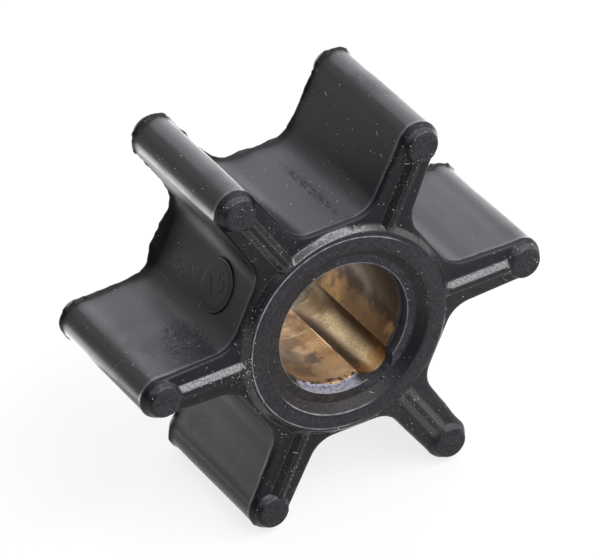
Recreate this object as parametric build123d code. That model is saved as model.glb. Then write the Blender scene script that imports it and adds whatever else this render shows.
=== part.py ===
"""Flexible pump impeller: six rubber vanes moulded round a keyed bronze bush.

Units are millimetres. The shaft axis is Y and the front face looks along -Y. The origin is the
centre of the bore, half way along the shaft axis. The impeller lies on two neighbouring vane tips,
so the vanes point to 0, 60, 120, 180, 240 and 300 degrees, counted from +X towards +Z.
"""
from build123d import *

import os
from math import cos, hypot, radians

# Overall
VANE_COUNT = 6
TIP_RADIUS = 20.5            # axis to the outermost point of a vane
TOTAL_LENGTH = 17.8          # over the wear nubs, front to back

# Plan outline of the moulding
HUB_FLAT_RADIUS = 10.85      # axis to the flats of the six-sided hub
BULB_RADIUS = 2.0            # round head at the end of each vane
WEB_ROOT_THICKNESS = 4.5     # web of a vane where it leaves the hub
WEB_TIP_THICKNESS = 3.6      # and where it meets the bulb
ROOT_FILLET = 2.8
NECK_FILLET = 2.5

# Relief on both end faces
RELIEF_HEIGHT = 0.75         # nubs and boss ring above the end face
EDGE_CHAMFER = 0.4           # broken edge of the end faces
NUB_TOP_RADIUS = 1.45
NUB_BASE_RADIUS = 1.78
RIB_HEIGHT = 0.65
RIB_TOP_WIDTH = 0.5
RIB_BASE_WIDTH = 1.7
RING_TOP_RADIUS = 9.45       # flat top of the boss ring
RING_SHOULDER_RADIUS = 10.0  # where its top edge meets its flank
RING_SHOULDER_DROP = 0.12
RING_BASE_RADIUS = 10.55

# Mouth of the moulding, in front of and behind the bush
MOUTH_RADIUS = 8.3
MOUTH_FLOOR_RADIUS = 7.45
MOUTH_DEPTH = 0.9
LIP_RADIUS = 6.55
LIP_LENGTH = 1.2             # rubber lip between the mouth floor and the bush

# Bronze bush
BORE_RADIUS = 6.35           # half-inch shaft
BUSH_RADIUS = 8.6
BUSH_CHAMFER = 0.25
KEYWAY_RADIUS = 1.8          # half-round groove, cut through the rubber lips as well
KEYWAY_DEPTH = 1.0
KEYWAY_ANGLE = 300           # in line with one vane

# Round mould-insert pad on the side of the hub
PAD_RADIUS = 2.7
PAD_STAND = 0.15             # height of the pad above the flat of the hub
PAD_SINK = 1.0               # how far its disc reaches into the hub
PAD_ANGLE = 150
PAD_OFFSET = -2.45           # along the axis, from the middle towards the front

# Worked out from the above
VANE_ANGLE = 360 / VANE_COUNT
HALF_LENGTH = TOTAL_LENGTH / 2
FACE_HEIGHT = HALF_LENGTH - RELIEF_HEIGHT
BULB_CENTRE = TIP_RADIUS - BULB_RADIUS
MOUTH_FLOOR = HALF_LENGTH - MOUTH_DEPTH
BUSH_HALF_LENGTH = MOUTH_FLOOR - LIP_LENGTH
HUB_CORNER_RADIUS = HUB_FLAT_RADIUS / cos(radians(VANE_ANGLE / 2))
MID_WEB_RADIUS = (HUB_CORNER_RADIUS + BULB_CENTRE) / 2
ROOT_IN_FACE = min(EDGE_CHAMFER, RELIEF_HEIGHT) / 2   # relief is rooted below the face


def turned_to(angle):
    """Turn about the shaft axis, so that what points along +X points to the given angle."""
    return Rot(0, -angle, 0)


def on_both_ends(solid):
    """The solid together with its mirror image at the other end."""
    return solid + mirror(solid, about=Plane.XZ)


def from_axis(edge):
    """Distance of an edge's middle from the shaft axis."""
    return hypot(edge.center().X, edge.center().Z)


def plan_outline():
    """Six-sided hub, webs and bulbs seen along the axis, before their corners are blended."""
    web = Polygon(
        (0, -WEB_ROOT_THICKNESS / 2),
        (HUB_FLAT_RADIUS, -WEB_ROOT_THICKNESS / 2),
        (BULB_CENTRE, -WEB_TIP_THICKNESS / 2),
        (BULB_CENTRE, WEB_TIP_THICKNESS / 2),
        (HUB_FLAT_RADIUS, WEB_ROOT_THICKNESS / 2),
        (0, WEB_ROOT_THICKNESS / 2),
        align=None,
    )
    vane = web + Pos(BULB_CENTRE, 0) * Circle(BULB_RADIUS)
    outline = RegularPolygon(HUB_FLAT_RADIUS, VANE_COUNT, major_radius=False)
    for number in range(VANE_COUNT):
        outline += Rot(0, 0, number * VANE_ANGLE) * vane
    return outline


def vane_block():
    """The moulding between its two flat end faces, blended at every corner."""
    block = extrude(Plane.XZ * plan_outline(), amount=FACE_HEIGHT, both=True)
    corners = block.edges().filter_by(Axis.Y)
    block = fillet(corners.filter_by(lambda edge: from_axis(edge) < MID_WEB_RADIUS), ROOT_FILLET)
    corners = block.edges().filter_by(Axis.Y)
    necks = corners.filter_by(lambda edge: MID_WEB_RADIUS < from_axis(edge) < BULB_CENTRE)
    block = fillet(necks, NECK_FILLET)
    ends = block.faces().filter_by(Axis.Y)
    return chamfer(ends.edges(), EDGE_CHAMFER)


def boss_ring():
    """Raised ring round the mouth, with a rolled edge and a sloping flank, at the back end."""
    section = Polygon(
        (MOUTH_FLOOR_RADIUS, FACE_HEIGHT - ROOT_IN_FACE),
        (RING_BASE_RADIUS, FACE_HEIGHT - ROOT_IN_FACE),
        (RING_BASE_RADIUS, FACE_HEIGHT),
        (RING_SHOULDER_RADIUS, HALF_LENGTH - RING_SHOULDER_DROP),
        (RING_TOP_RADIUS, HALF_LENGTH),
        (MOUTH_FLOOR_RADIUS, HALF_LENGTH),
        align=None,
    )
    return revolve(section, Axis.Y)


def vane_rib():
    """Low rib with drafted sides along the middle of one vane, at the back end."""
    spread = (RIB_BASE_WIDTH - RIB_TOP_WIDTH) / 2 * ROOT_IN_FACE / RIB_HEIGHT
    section = Polygon(
        (FACE_HEIGHT - ROOT_IN_FACE, -RIB_BASE_WIDTH / 2 - spread),
        (FACE_HEIGHT + RIB_HEIGHT, -RIB_TOP_WIDTH / 2),
        (FACE_HEIGHT + RIB_HEIGHT, RIB_TOP_WIDTH / 2),
        (FACE_HEIGHT - ROOT_IN_FACE, RIB_BASE_WIDTH / 2 + spread),
        align=None,
    )
    start = (MOUTH_RADIUS + RING_TOP_RADIUS) / 2
    return extrude(Plane.YZ.offset(start) * section, amount=BULB_CENTRE - start)


def vane_nub():
    """Round wear nub on the end of one bulb, drafted, at the back end."""
    slope = (NUB_BASE_RADIUS - NUB_TOP_RADIUS) / RELIEF_HEIGHT
    section = Polygon(
        (0, FACE_HEIGHT - ROOT_IN_FACE),
        (NUB_BASE_RADIUS + slope * ROOT_IN_FACE, FACE_HEIGHT - ROOT_IN_FACE),
        (NUB_TOP_RADIUS, HALF_LENGTH),
        (0, HALF_LENGTH),
        align=None,
    )
    return Pos(BULB_CENTRE, 0, 0) * revolve(section, Axis.Y)


def insert_pad():
    """Flat round pad that the mould insert leaves on the side of the hub."""
    disc = Cylinder(PAD_RADIUS, PAD_SINK + PAD_STAND, align=(Align.CENTER, Align.CENTER, Align.MIN))
    standing = Pos(HUB_FLAT_RADIUS - PAD_SINK, PAD_OFFSET, 0) * Rot(0, 90, 0) * disc
    return turned_to(PAD_ANGLE) * standing


def bush_space():
    """Room for the bush inside the rubber."""
    return Rot(90, 0, 0) * Cylinder(BUSH_RADIUS, 2 * BUSH_HALF_LENGTH)


def mouth():
    """Flared mouth and the hole through the lip behind it, at the back end."""
    beyond = HALF_LENGTH + RELIEF_HEIGHT
    flare = (MOUTH_RADIUS - MOUTH_FLOOR_RADIUS) / MOUTH_DEPTH * RELIEF_HEIGHT
    section = Polygon(
        (0, BUSH_HALF_LENGTH),
        (LIP_RADIUS, BUSH_HALF_LENGTH),
        (LIP_RADIUS, MOUTH_FLOOR),
        (MOUTH_FLOOR_RADIUS, MOUTH_FLOOR),
        (MOUTH_RADIUS + flare, beyond),
        (0, beyond),
        align=None,
    )
    return revolve(section, Axis.Y)


def keyway():
    """Half-round groove for the key, from end to end, in line with one vane."""
    centre = BORE_RADIUS + KEYWAY_DEPTH - KEYWAY_RADIUS
    groove = extrude(Plane.XZ * Pos(centre, 0) * Circle(KEYWAY_RADIUS), amount=HALF_LENGTH, both=True)
    return turned_to(KEYWAY_ANGLE) * groove


def rubber_impeller():
    """The whole rubber moulding as one solid."""
    moulding = vane_block() + on_both_ends(boss_ring())
    end_relief = on_both_ends(vane_rib() + vane_nub())
    for number in range(VANE_COUNT):
        moulding += turned_to(number * VANE_ANGLE) * end_relief
    moulding += insert_pad()
    return moulding - bush_space() - on_both_ends(mouth()) - keyway()


def keyed_bush():
    """Bronze bush that the rubber is bonded to, bored for the shaft and grooved for its key."""
    outside = Cylinder(BUSH_RADIUS, 2 * BUSH_HALF_LENGTH)
    bored = outside - Cylinder(BORE_RADIUS, 2 * BUSH_HALF_LENGTH)
    mouths = bored.edges().filter_by(GeomType.CIRCLE).filter_by(lambda edge: edge.radius < BUSH_RADIUS)
    bush = Rot(90, 0, 0) * chamfer(mouths, BUSH_CHAMFER)
    return bush - keyway()


def main():
    """Write one STEP file for each piece."""
    os.makedirs("parts", exist_ok=True)
    export_step(rubber_impeller(), "parts/rubber_impeller.step")
    export_step(keyed_bush(), "parts/keyed_bush.step")


main()
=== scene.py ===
"""Looks of a flexible pump impeller: black moulded rubber bonded round a keyed bronze bush.

The shaft axis is Y and the front face looks along -Y. Lengths in the classes are millimetres, and a
mesh turns them to metres when it is made. "Plan" is the view from the front, with X to the right
and Z up. "Height" is a point's distance from the middle plane, towards the end that is being made.
"""

import logging
import math
from dataclasses import dataclass, field
from enum import Enum

import bmesh
import bpy
import numpy as np
from mathutils import Matrix, Vector, noise
from mathutils.geometry import delaunay_2d_cdt


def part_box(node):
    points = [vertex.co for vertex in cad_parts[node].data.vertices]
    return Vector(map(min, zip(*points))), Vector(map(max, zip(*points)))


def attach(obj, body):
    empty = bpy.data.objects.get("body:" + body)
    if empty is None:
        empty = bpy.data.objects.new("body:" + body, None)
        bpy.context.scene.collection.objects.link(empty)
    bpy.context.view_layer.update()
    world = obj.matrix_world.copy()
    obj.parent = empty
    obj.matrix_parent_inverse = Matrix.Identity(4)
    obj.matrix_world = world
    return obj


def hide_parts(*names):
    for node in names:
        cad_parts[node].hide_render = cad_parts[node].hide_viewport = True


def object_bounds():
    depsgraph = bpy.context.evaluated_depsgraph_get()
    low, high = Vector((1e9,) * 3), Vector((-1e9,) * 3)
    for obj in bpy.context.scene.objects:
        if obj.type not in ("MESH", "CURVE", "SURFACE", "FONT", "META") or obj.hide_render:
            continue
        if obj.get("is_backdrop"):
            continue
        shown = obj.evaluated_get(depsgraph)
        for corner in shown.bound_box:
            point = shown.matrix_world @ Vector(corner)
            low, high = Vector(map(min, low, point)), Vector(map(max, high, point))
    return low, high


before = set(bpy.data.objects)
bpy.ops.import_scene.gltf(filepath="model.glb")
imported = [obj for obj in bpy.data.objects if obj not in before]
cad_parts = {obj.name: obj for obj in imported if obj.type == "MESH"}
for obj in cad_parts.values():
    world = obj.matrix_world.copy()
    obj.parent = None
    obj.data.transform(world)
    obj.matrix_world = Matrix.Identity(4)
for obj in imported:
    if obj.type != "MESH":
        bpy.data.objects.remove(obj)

LOG = logging.getLogger("impeller")
MM = 0.001
BODY = "root"
FLOOR_GAP = 0.00002          # metres between the part and the floor
NEAR_KEYWAY = 22             # degrees on both sides of the keyway that get fine steps

Array = np.ndarray
Object = bpy.types.Object
Mesh = bpy.types.Mesh
Material = bpy.types.Material
Tree = bpy.types.NodeTree
Socket = bpy.types.NodeSocket
Pair = tuple[Array, Array]


def smooth_max(first: Array, second: Array, blend: float) -> Array:
    """Larger of two heights, with a small radius where they cross."""
    return (first + second + np.sqrt((first - second) ** 2 + blend**2)) / 2


def soft_excess(value: Array, blend: float) -> Array:
    """How far a value is above zero, with a small radius at zero."""
    return (value + np.sqrt(value**2 + blend**2)) / 2


def noise_at(points: Array, grain: float, shift: float = 0.0) -> Array:
    """Smooth noise from about -1 to 1.

    Args:
        points: Rows of x, y, z in millimetres.
        grain: Size of one hill of the noise in millimetres.
        shift: Moves to another part of the same noise.

    Returns:
        One value for each row.
    """
    start = Vector((shift, shift, shift))
    return np.array([noise.noise(Vector(point / grain) + start) for point in points])


def unit(angle: float) -> Array:
    """Unit vector in the plan at an angle in degrees from +X towards +Z."""
    return np.array([math.cos(math.radians(angle)), math.sin(math.radians(angle))])


def rays_at(angles: Array) -> Array:
    """Unit vectors in the plan at many angles in radians."""
    return np.column_stack([np.cos(angles), np.sin(angles)])


def circle(radius: float, step: float) -> Array:
    """Ring of plan points about one step apart, with its first point again at the end."""
    count = round(2 * math.pi * radius / step)
    return rays_at(2 * math.pi * np.arange(count + 1) / count) * radius


def lift(plan: Array, along: Array | float) -> Array:
    """Points in space from plan points and their place along the shaft."""
    return np.column_stack([plan[:, 0], np.broadcast_to(along, len(plan)), plan[:, 1]])


# Sizes ---------------------------------------------------------------------------------------


@dataclass(frozen=True)
class Sizes:
    """Sizes of the moulding and its bush in millimetres, as in the solid model.

    Only the neck below each round head is fuller, and edges have small roundings.
    """

    tip_radius: float
    half_length: float
    bush_half_length: float
    bush_radius: float
    vanes: int = 6
    hub_flat: float = 10.85
    bulb_radius: float = 2.0
    web_root: float = 2.25
    web_tip: float = 1.93
    root_fillet: float = 2.8
    neck_fillet: float = 8.0
    relief: float = 0.75
    rounding: float = 0.45
    nub_top: float = 1.45
    nub_base: float = 1.78
    rib_drop: float = 0.1
    rib_top: float = 0.22
    rib_base: float = 0.85
    ring_flat: float = 9.45
    ring_shoulder: float = 10.0
    ring_base: float = 10.55
    mouth: float = 8.3
    mouth_floor: float = 7.45
    mouth_depth: float = 0.9
    lip: float = 6.55
    bore: float = 6.35
    key_radius: float = 1.8
    key_depth: float = 1.0
    key_angle: float = 300.0
    pad_angle: float = 150.0
    pad_offset: float = -2.45

    @classmethod
    def from_frame(cls) -> "Sizes":
        """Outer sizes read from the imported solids.

        Returns:
            The sizes. Those that the solids do not show keep their values.
        """
        low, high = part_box("rubber_impeller")
        bush_low, bush_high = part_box("keyed_bush")
        return cls(
            tip_radius=(high.x - low.x) / 2 / MM,
            half_length=high.y / MM,
            bush_half_length=bush_high.y / MM,
            bush_radius=(bush_high.x - bush_low.x) / 2 / MM,
        )

    @property
    def bulb_centre(self) -> float:
        """Distance from the axis to the middle of a vane's round head."""
        return self.tip_radius - self.bulb_radius

    @property
    def face(self) -> float:
        """Height of the flat end face."""
        return self.half_length - self.relief

    @property
    def shoulder(self) -> float:
        """Height at which the side wall begins to roll over into the end face."""
        return self.face - self.rounding

    @property
    def floor(self) -> float:
        """Height of the floor inside the mouth."""
        return self.half_length - self.mouth_depth

    @property
    def vane_angles(self) -> list[float]:
        """Direction of each vane in degrees."""
        return [360.0 / self.vanes * number for number in range(self.vanes)]

    def folded(self, x: Array, z: Array) -> tuple[Array, Array, Array]:
        """Plan points folded on one vane.

        Args:
            x: Places across the plan.
            z: Places up the plan.

        Returns:
            Radius from the axis, then distance along and across the nearest vane.
        """
        radius = np.hypot(x, z)
        step = 2 * math.pi / self.vanes
        fold = np.abs((np.arctan2(z, x) + step / 2) % step - step / 2)
        return radius, radius * np.cos(fold), radius * np.sin(fold)


# Plan curves ---------------------------------------------------------------------------------


@dataclass(frozen=True)
class Loop:
    """A closed plan curve, counter-clockwise, with its outward normals."""

    points: Array
    normals: Array

    def moved(self, distance: Array | float) -> Array:
        """Points moved outwards by a distance, or by one distance each."""
        return self.points + self.normals * np.reshape(distance, (-1, 1))


def inside(polygon: Array, plan: Array) -> Array:
    """Even and odd crossings test of many plan points against one polygon.

    Args:
        polygon: Its corners in order.
        plan: Points to test.

    Returns:
        True for each point inside.
    """
    result = np.zeros(len(plan), bool)
    x, z = plan[:, 0], plan[:, 1]
    for (x0, z0), (x1, z1) in zip(polygon, np.roll(polygon, -1, axis=0)):
        if z0 == z1:
            continue
        crosses = ((z0 > z) != (z1 > z)) & (x < (x1 - x0) * (z - z0) / (z1 - z0) + x0)
        result ^= crosses
    return result


class VanePlan:
    """Outline of the six-sided hub, the tapered webs and the round heads."""

    def __init__(self, sizes: Sizes, step: float) -> None:
        """Keeps the sizes and the spacing of the points."""
        self.sizes = sizes
        self.step = step

    def _line(self, start: Array, end: Array, normal: Array) -> Pair:
        """Straight run of points.

        Args:
            start: First point.
            end: Point after the last one that is returned.
            normal: Outward normal.

        Returns:
            Points and outward normals.
        """
        count = max(2, round(float(np.linalg.norm(end - start)) / self.step))
        part = np.arange(count)[:, None] / count
        return start + (end - start) * part, np.repeat(normal[None, :], count, axis=0)

    def _arc(self, centre: Array, first: Array, last: Array, hollow: bool) -> Pair:
        """Arc from one point to another round a centre, without its end.

        Args:
            centre: Middle of the arc.
            first: First point.
            last: Point after the last one that is returned.
            hollow: True where the material lies outside the arc.

        Returns:
            Points and outward normals.
        """
        radius = float(np.linalg.norm(first - centre))
        begin = math.atan2(*(first - centre)[::-1])
        turn = math.atan2(*(last - centre)[::-1]) - begin
        turn = (turn + math.pi) % (2 * math.pi) - math.pi
        count = max(6, round(abs(turn) * radius / self.step))
        angles = begin + turn * np.arange(count) / count
        rays = rays_at(angles)
        return centre + rays * radius, -rays if hollow else rays

    def _half_vane(self) -> Pair:
        """From the middle of a hub flat to the tip of the vane along +X, without the tip.

        Returns:
            Points and outward normals.
        """
        s = self.sizes
        flat_normal = unit(-180.0 / s.vanes)
        tip_corner = np.array([s.bulb_centre, -s.web_tip])
        along = tip_corner - np.array([s.hub_flat, -s.web_root])
        along = along / np.linalg.norm(along)
        web_normal = np.array([along[1], -along[0]])
        bulb = np.array([s.bulb_centre, 0.0])

        root = np.linalg.solve(
            np.array([flat_normal, web_normal]),
            np.array([s.hub_flat + s.root_fillet, tip_corner @ web_normal + s.root_fillet]),
        )
        reach = s.neck_fillet + s.bulb_radius
        start = tip_corner + web_normal * s.neck_fillet
        back = (start - bulb) @ along
        rest = (start - bulb) @ (start - bulb) - reach**2
        neck = start + along * (-back - math.sqrt(back**2 - rest))

        flat_start = flat_normal * s.hub_flat
        flat_end = root - flat_normal * s.root_fillet
        web_start = root - web_normal * s.root_fillet
        web_end = neck - web_normal * s.neck_fillet
        head_start = bulb + (neck - bulb) * s.bulb_radius / reach
        tip = bulb + np.array([s.bulb_radius, 0.0])
        parts = [
            self._line(flat_start, flat_end, flat_normal),
            self._arc(root, flat_end, web_start, hollow=True),
            self._line(web_start, web_end, web_normal),
            self._arc(neck, web_end, head_start, hollow=True),
            self._arc(bulb, head_start, tip, hollow=False),
        ]
        return np.vstack([p for p, _ in parts]), np.vstack([n for _, n in parts])

    def loop(self) -> Loop:
        """The whole outline, vane after vane.

        Returns:
            The closed curve.
        """
        points, normals = self._half_vane()
        mirror = np.array([1.0, -1.0])
        tip = np.array([[self.sizes.tip_radius, 0.0]])
        ahead = np.array([[1.0, 0.0]])
        points = np.vstack([points, tip, (points * mirror)[:0:-1]])
        normals = np.vstack([normals, ahead, (normals * mirror)[:0:-1]])
        all_points, all_normals = [], []
        for angle in self.sizes.vane_angles:
            ray = unit(angle)
            turn = np.array([[ray[0], ray[1]], [-ray[1], ray[0]]])
            all_points.append(points @ turn)
            all_normals.append(normals @ turn)
        return Loop(np.vstack(all_points), np.vstack(all_normals))


def keyed_circle(sizes: Sizes, radius: float) -> Loop:
    """Circle round the axis that is joined with the half-round keyway.

    Args:
        sizes: Sizes of the keyway.
        radius: Radius of the circle.

    Returns:
        The curve, with the same number of points for every radius.
    """
    coarse = np.arange(NEAR_KEYWAY, 360 - NEAR_KEYWAY, 2.0)
    fine = np.arange(-NEAR_KEYWAY, NEAR_KEYWAY, 0.8)
    angles = np.radians(np.concatenate([fine, coarse]))
    centre = sizes.bore + sizes.key_depth - sizes.key_radius
    under = sizes.key_radius**2 - (centre * np.sin(angles)) ** 2
    reach = centre * np.cos(angles) + np.sqrt(np.maximum(under, 0))
    reach = np.where((under > 0) & (np.cos(angles) > 0), reach, 0)
    length = np.maximum(radius, reach)
    turned = angles + math.radians(sizes.key_angle)
    rays = rays_at(turned)
    return Loop(rays * length[:, None], rays)


# Meshes --------------------------------------------------------------------------------------


class MeshBuilder:
    """Collects the points and faces of one closed mesh."""

    def __init__(self) -> None:
        """Starts with nothing."""
        self.points: list[Array] = []
        self.faces: list[tuple[int, ...]] = []
        self.count = 0

    def add(self, points: Array) -> Array:
        """Adds points to the mesh.

        Args:
            points: Rows of x, y, z in millimetres.

        Returns:
            The number of each point.
        """
        self.points.append(points)
        numbers = np.arange(self.count, self.count + len(points))
        self.count += len(points)
        return numbers

    def bridge(self, first: Array, second: Array, flip: bool = False) -> None:
        """Band of faces between two closed rows of points.

        Args:
            first: Point numbers of the row nearer the front.
            second: Point numbers of the row nearer the back.
            flip: True where the material lies outside the rows.
        """
        first_next, second_next = np.roll(first, -1), np.roll(second, -1)
        if flip:
            quads = zip(first, first_next, second_next, second)
        else:
            quads = zip(first, second, second_next, first_next)
        self.faces.extend(tuple(int(number) for number in quad) for quad in quads)

    def fan(self, row: Array, middle: Array, flip: bool = False) -> None:
        """Closes a row with triangles to one middle point.

        Args:
            row: Point numbers of the row.
            middle: The middle point.
            flip: True to turn the triangles over.
        """
        centre = int(self.add(middle[None, :])[0])
        for one, two in zip(row, np.roll(row, -1)):
            first, second = (two, one) if flip else (one, two)
            self.faces.append((int(first), int(second), centre))

    def object(self, name: str) -> Object:
        """Makes the object, smooth and in metres, at the origin.

        Args:
            name: Name of the object and its mesh.

        Returns:
            The object.
        """
        mesh = bpy.data.meshes.new(name)
        mesh.from_pydata((np.vstack(self.points) * MM).tolist(), [], self.faces)
        mesh.validate()
        mesh.shade_smooth()
        return linked(name, mesh)


def linked(name: str, data: bpy.types.ID) -> Object:
    """A new object at the origin, linked to the scene.

    Args:
        name: Name of the object.
        data: Mesh, text, light or camera.

    Returns:
        The object.
    """
    made = bpy.data.objects.new(name, data)
    bpy.context.scene.collection.objects.link(made)
    return made


def plain_mesh(source: Object, name: str) -> Mesh:
    """The mesh that a text or a modifier makes. The source object is removed.

    Args:
        source: Object with the text or the modifier.
        name: Name of the mesh.

    Returns:
        The mesh.
    """
    bpy.context.view_layer.update()
    finished = source.evaluated_get(bpy.context.evaluated_depsgraph_get())
    mesh = bpy.data.meshes.new_from_object(finished)
    bpy.data.objects.remove(source)
    mesh.name = name
    return mesh


def store(mesh: Mesh, name: str, values: Array) -> None:
    """Keeps one number for each point of a mesh, for the dust to read."""
    layer = mesh.attributes.new(name, "FLOAT", "POINT")
    layer.data.foreach_set("value", values.astype(np.float32))


def spaced(plan: Array, gap: float) -> Array:
    """Thins plan points out, so that none is closer to an earlier one than a gap.

    Args:
        plan: The points, in order of their rank.
        gap: Least distance.

    Returns:
        True for each point that is kept.
    """
    keep = np.zeros(len(plan), bool)
    cells: dict[tuple[int, int], list[Array]] = {}
    for number, point in enumerate(plan):
        column, row = int(point[0] // gap), int(point[1] // gap)
        around = [(column + i, row + j) for i in (-1, 0, 1) for j in (-1, 0, 1)]
        near = [q for cell in around for q in cells.get(cell, [])]
        if all((point[0] - q[0]) ** 2 + (point[1] - q[1]) ** 2 > gap**2 for q in near):
            keep[number] = True
            cells.setdefault((column, row), []).append(point)
    return keep


class EndCap:
    """Relief of one end: nubs, ribs, boss ring, mouth and its floor."""

    FILL_STEP = 0.42                         # between points on open faces
    LINE_STEP = 0.24                         # between points along a crease
    GAP = 0.085                              # least distance between two crease points
    EDGE = 0.04                              # radius of the creases
    ROLL = (9.6, 9.72, 9.86)                 # radii over the rolled edge of the ring
    ROLL_DROPS = (0.008, 0.025, 0.06, 0.12)  # and how far it has dropped there and at its shoulder
    ON_FLANK = (10.12, 10.42)                # more rows of points, on the ring's flank,
    ROUND_RING = 10.7                        # on the face round it,
    ON_CONE = (8.18, 7.88, 7.58)             # on the mouth's cone,
    ON_FLOOR = (7.34, 7.0, 6.8)              # on its floor
    ON_RING = 8.9                            # and on the ring's flat top
    BLOCK = 2000                             # plan points that are tested at a time

    def __init__(self, sizes: Sizes, rim: Loop, hole: Loop) -> None:
        """Keeps the outer rim and the hole that bound the cap.

        Args:
            sizes: Sizes of the moulding.
            rim: Outline of the vanes.
            hole: Hole through the lip.
        """
        self.sizes = sizes
        self.rim = rim
        self.hole = hole

    def relief(self, plan: Array) -> Array:
        """Height of ring, ribs, nubs and mouth over the plan, without the end face.

        Args:
            plan: Plan points.

        Returns:
            One height for each point.
        """
        s = self.sizes
        from_axis = np.hypot(plan[:, 0], plan[:, 1])
        deep = s.half_length - 3 * s.relief
        rolled = [s.half_length - drop for drop in self.ROLL_DROPS]
        ring = np.interp(
            from_axis,
            [s.mouth_floor, s.mouth, s.ring_flat, *self.ROLL, s.ring_shoulder, s.ring_base,
             s.ring_base + s.relief],
            [s.floor, s.half_length, s.half_length, *rolled, s.face, deep],
        )
        height = ring
        on_ring = (s.mouth + s.ring_flat) / 2
        rib_slope = (s.relief - s.rib_drop) / (s.rib_base - s.rib_top)
        nub_slope = s.relief / (s.nub_base - s.nub_top)
        for angle in s.vane_angles:
            along = plan @ unit(angle)
            across = np.abs(plan @ unit(angle + 90))
            beyond = soft_excess(across - s.rib_top, self.EDGE)
            rib = s.half_length - s.rib_drop - rib_slope * beyond
            on_vane = (along > on_ring) & (along < s.bulb_centre)
            height = smooth_max(height, np.where(on_vane, rib, deep), self.EDGE)
            from_bulb = np.hypot(*(plan - unit(angle) * s.bulb_centre).T)
            nub = s.half_length - nub_slope * soft_excess(from_bulb - s.nub_top, self.EDGE)
            height = smooth_max(height, np.maximum(nub, deep), self.EDGE)
        return np.where(from_axis < on_ring, ring, height)

    def height(self, plan: Array) -> Array:
        """Height of the finished end over the plan.

        Args:
            plan: Plan points.

        Returns:
            One height for each point.
        """
        s = self.sizes
        from_axis = np.hypot(plan[:, 0], plan[:, 1])
        raised = self.relief(plan)
        outside = smooth_max(raised, np.full(len(plan), s.face), self.EDGE)
        return np.where(from_axis < s.mouth, raised, outside)

    def _creases(self) -> list[Array]:
        """Rows of points along every crease, so that the creases stay crisp.

        Returns:
            Plan points of each row, in order.
        """
        s = self.sizes
        radii = (s.ring_flat, *self.ROLL, s.ring_shoulder, *self.ON_FLANK, s.ring_base,
                 self.ROUND_RING, s.mouth + 0.12, s.mouth, *self.ON_CONE, s.mouth_floor,
                 *self.ON_FLOOR, self.ON_RING)
        rib = (0.0, s.rib_top, s.rib_top + 0.1, (s.rib_top + s.rib_base) / 2, s.rib_base - 0.1,
               s.rib_base, s.rib_base + 0.12)
        nub = (s.nub_base + 0.1, s.nub_base, s.nub_top + 0.1, s.nub_top, s.nub_top - 0.12, 1.0, 0.5)
        rows = [circle(radius, self.LINE_STEP) for radius in radii]
        for angle in s.vane_angles:
            ray, side = unit(angle), unit(angle + 90)
            for across in rib:
                start = math.sqrt((s.ring_base + 0.15) ** 2 - across**2)
                end = s.bulb_centre - math.sqrt(s.nub_base**2 - across**2)
                count = round((end - start) / (self.LINE_STEP * 0.8))
                run = np.linspace(start, end, count)[:, None]
                for sign in (-1, 1) if across else (1,):
                    rows.append(ray * run + side * across * sign)
            rows += [circle(radius, self.LINE_STEP * 0.7) + ray * s.bulb_centre for radius in nub]
        return rows

    def _fill_points(self) -> Array:
        """Even six-sided grid over the whole plan.

        Returns:
            Plan points, also those beyond the rim.
        """
        reach = self.sizes.tip_radius
        rows = np.arange(-reach, reach, self.FILL_STEP * math.sqrt(3) / 2)
        columns = np.arange(-reach, reach, self.FILL_STEP)
        grid_x, grid_z = np.meshgrid(columns, rows)
        grid_x[::2] += self.FILL_STEP / 2
        return np.column_stack([grid_x.ravel(), grid_z.ravel()])

    def _away_from(self, plan: Array, border: Array, gap: float) -> Array:
        """Tests whether plan points keep a gap from a border.

        Args:
            plan: Points to test.
            border: Points of the border.
            gap: Least distance.

        Returns:
            True for each point that keeps it.
        """
        clear = np.ones(len(plan), bool)
        for start in range(0, len(plan), self.BLOCK):
            part = plan[start:start + self.BLOCK]
            far = ((part[:, None, :] - border[None, :, :]) ** 2).sum(2).min(1) > gap**2
            clear[start:start + self.BLOCK] = far
        return clear

    def _clear(self, row: Array, rim: Array, hole: Array) -> Pair:
        """Points of a row inside the cap and off its borders.

        Args:
            row: Plan points in order.
            rim: Points of the rim.
            hole: Points of the hole.

        Returns:
            The points, and whether each one follows its neighbour in the row.
        """
        away = self._away_from(row, np.vstack([rim, hole]), self.GAP * 1.6)
        good = inside(rim, row) & ~inside(hole, row) & away
        follows = good & np.concatenate([[False], good[:-1]])
        return row[good], follows[good]

    def _uncrossed(self, plan: Array, edges: list[tuple[int, int]]) -> list[tuple[int, int]]:
        """Short crease edges, without those where the creases of ring, ribs and nubs cross.

        Args:
            plan: All plan points.
            edges: Pairs of point numbers.

        Returns:
            The edges that stay.
        """
        s = self.sizes
        ends = np.array(edges)
        length = np.linalg.norm(plan[ends[:, 0]] - plan[ends[:, 1]], axis=1)
        radius, along, across = s.folded(*plan[ends].mean(axis=1).T)
        by_rib = across < s.rib_base + 0.3
        at_ring = (radius > s.ring_shoulder - 0.2) & (radius < s.ring_base + 0.5) & by_rib
        from_bulb = np.hypot(along - s.bulb_centre, across)
        at_nub = (np.abs(from_bulb - s.nub_base) < 0.35) & by_rib & (along < s.bulb_centre)
        good = (length < self.LINE_STEP * 1.3) & ~(at_ring | at_nub)
        return [tuple(int(i) for i in edge) for edge in ends[good]]

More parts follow.
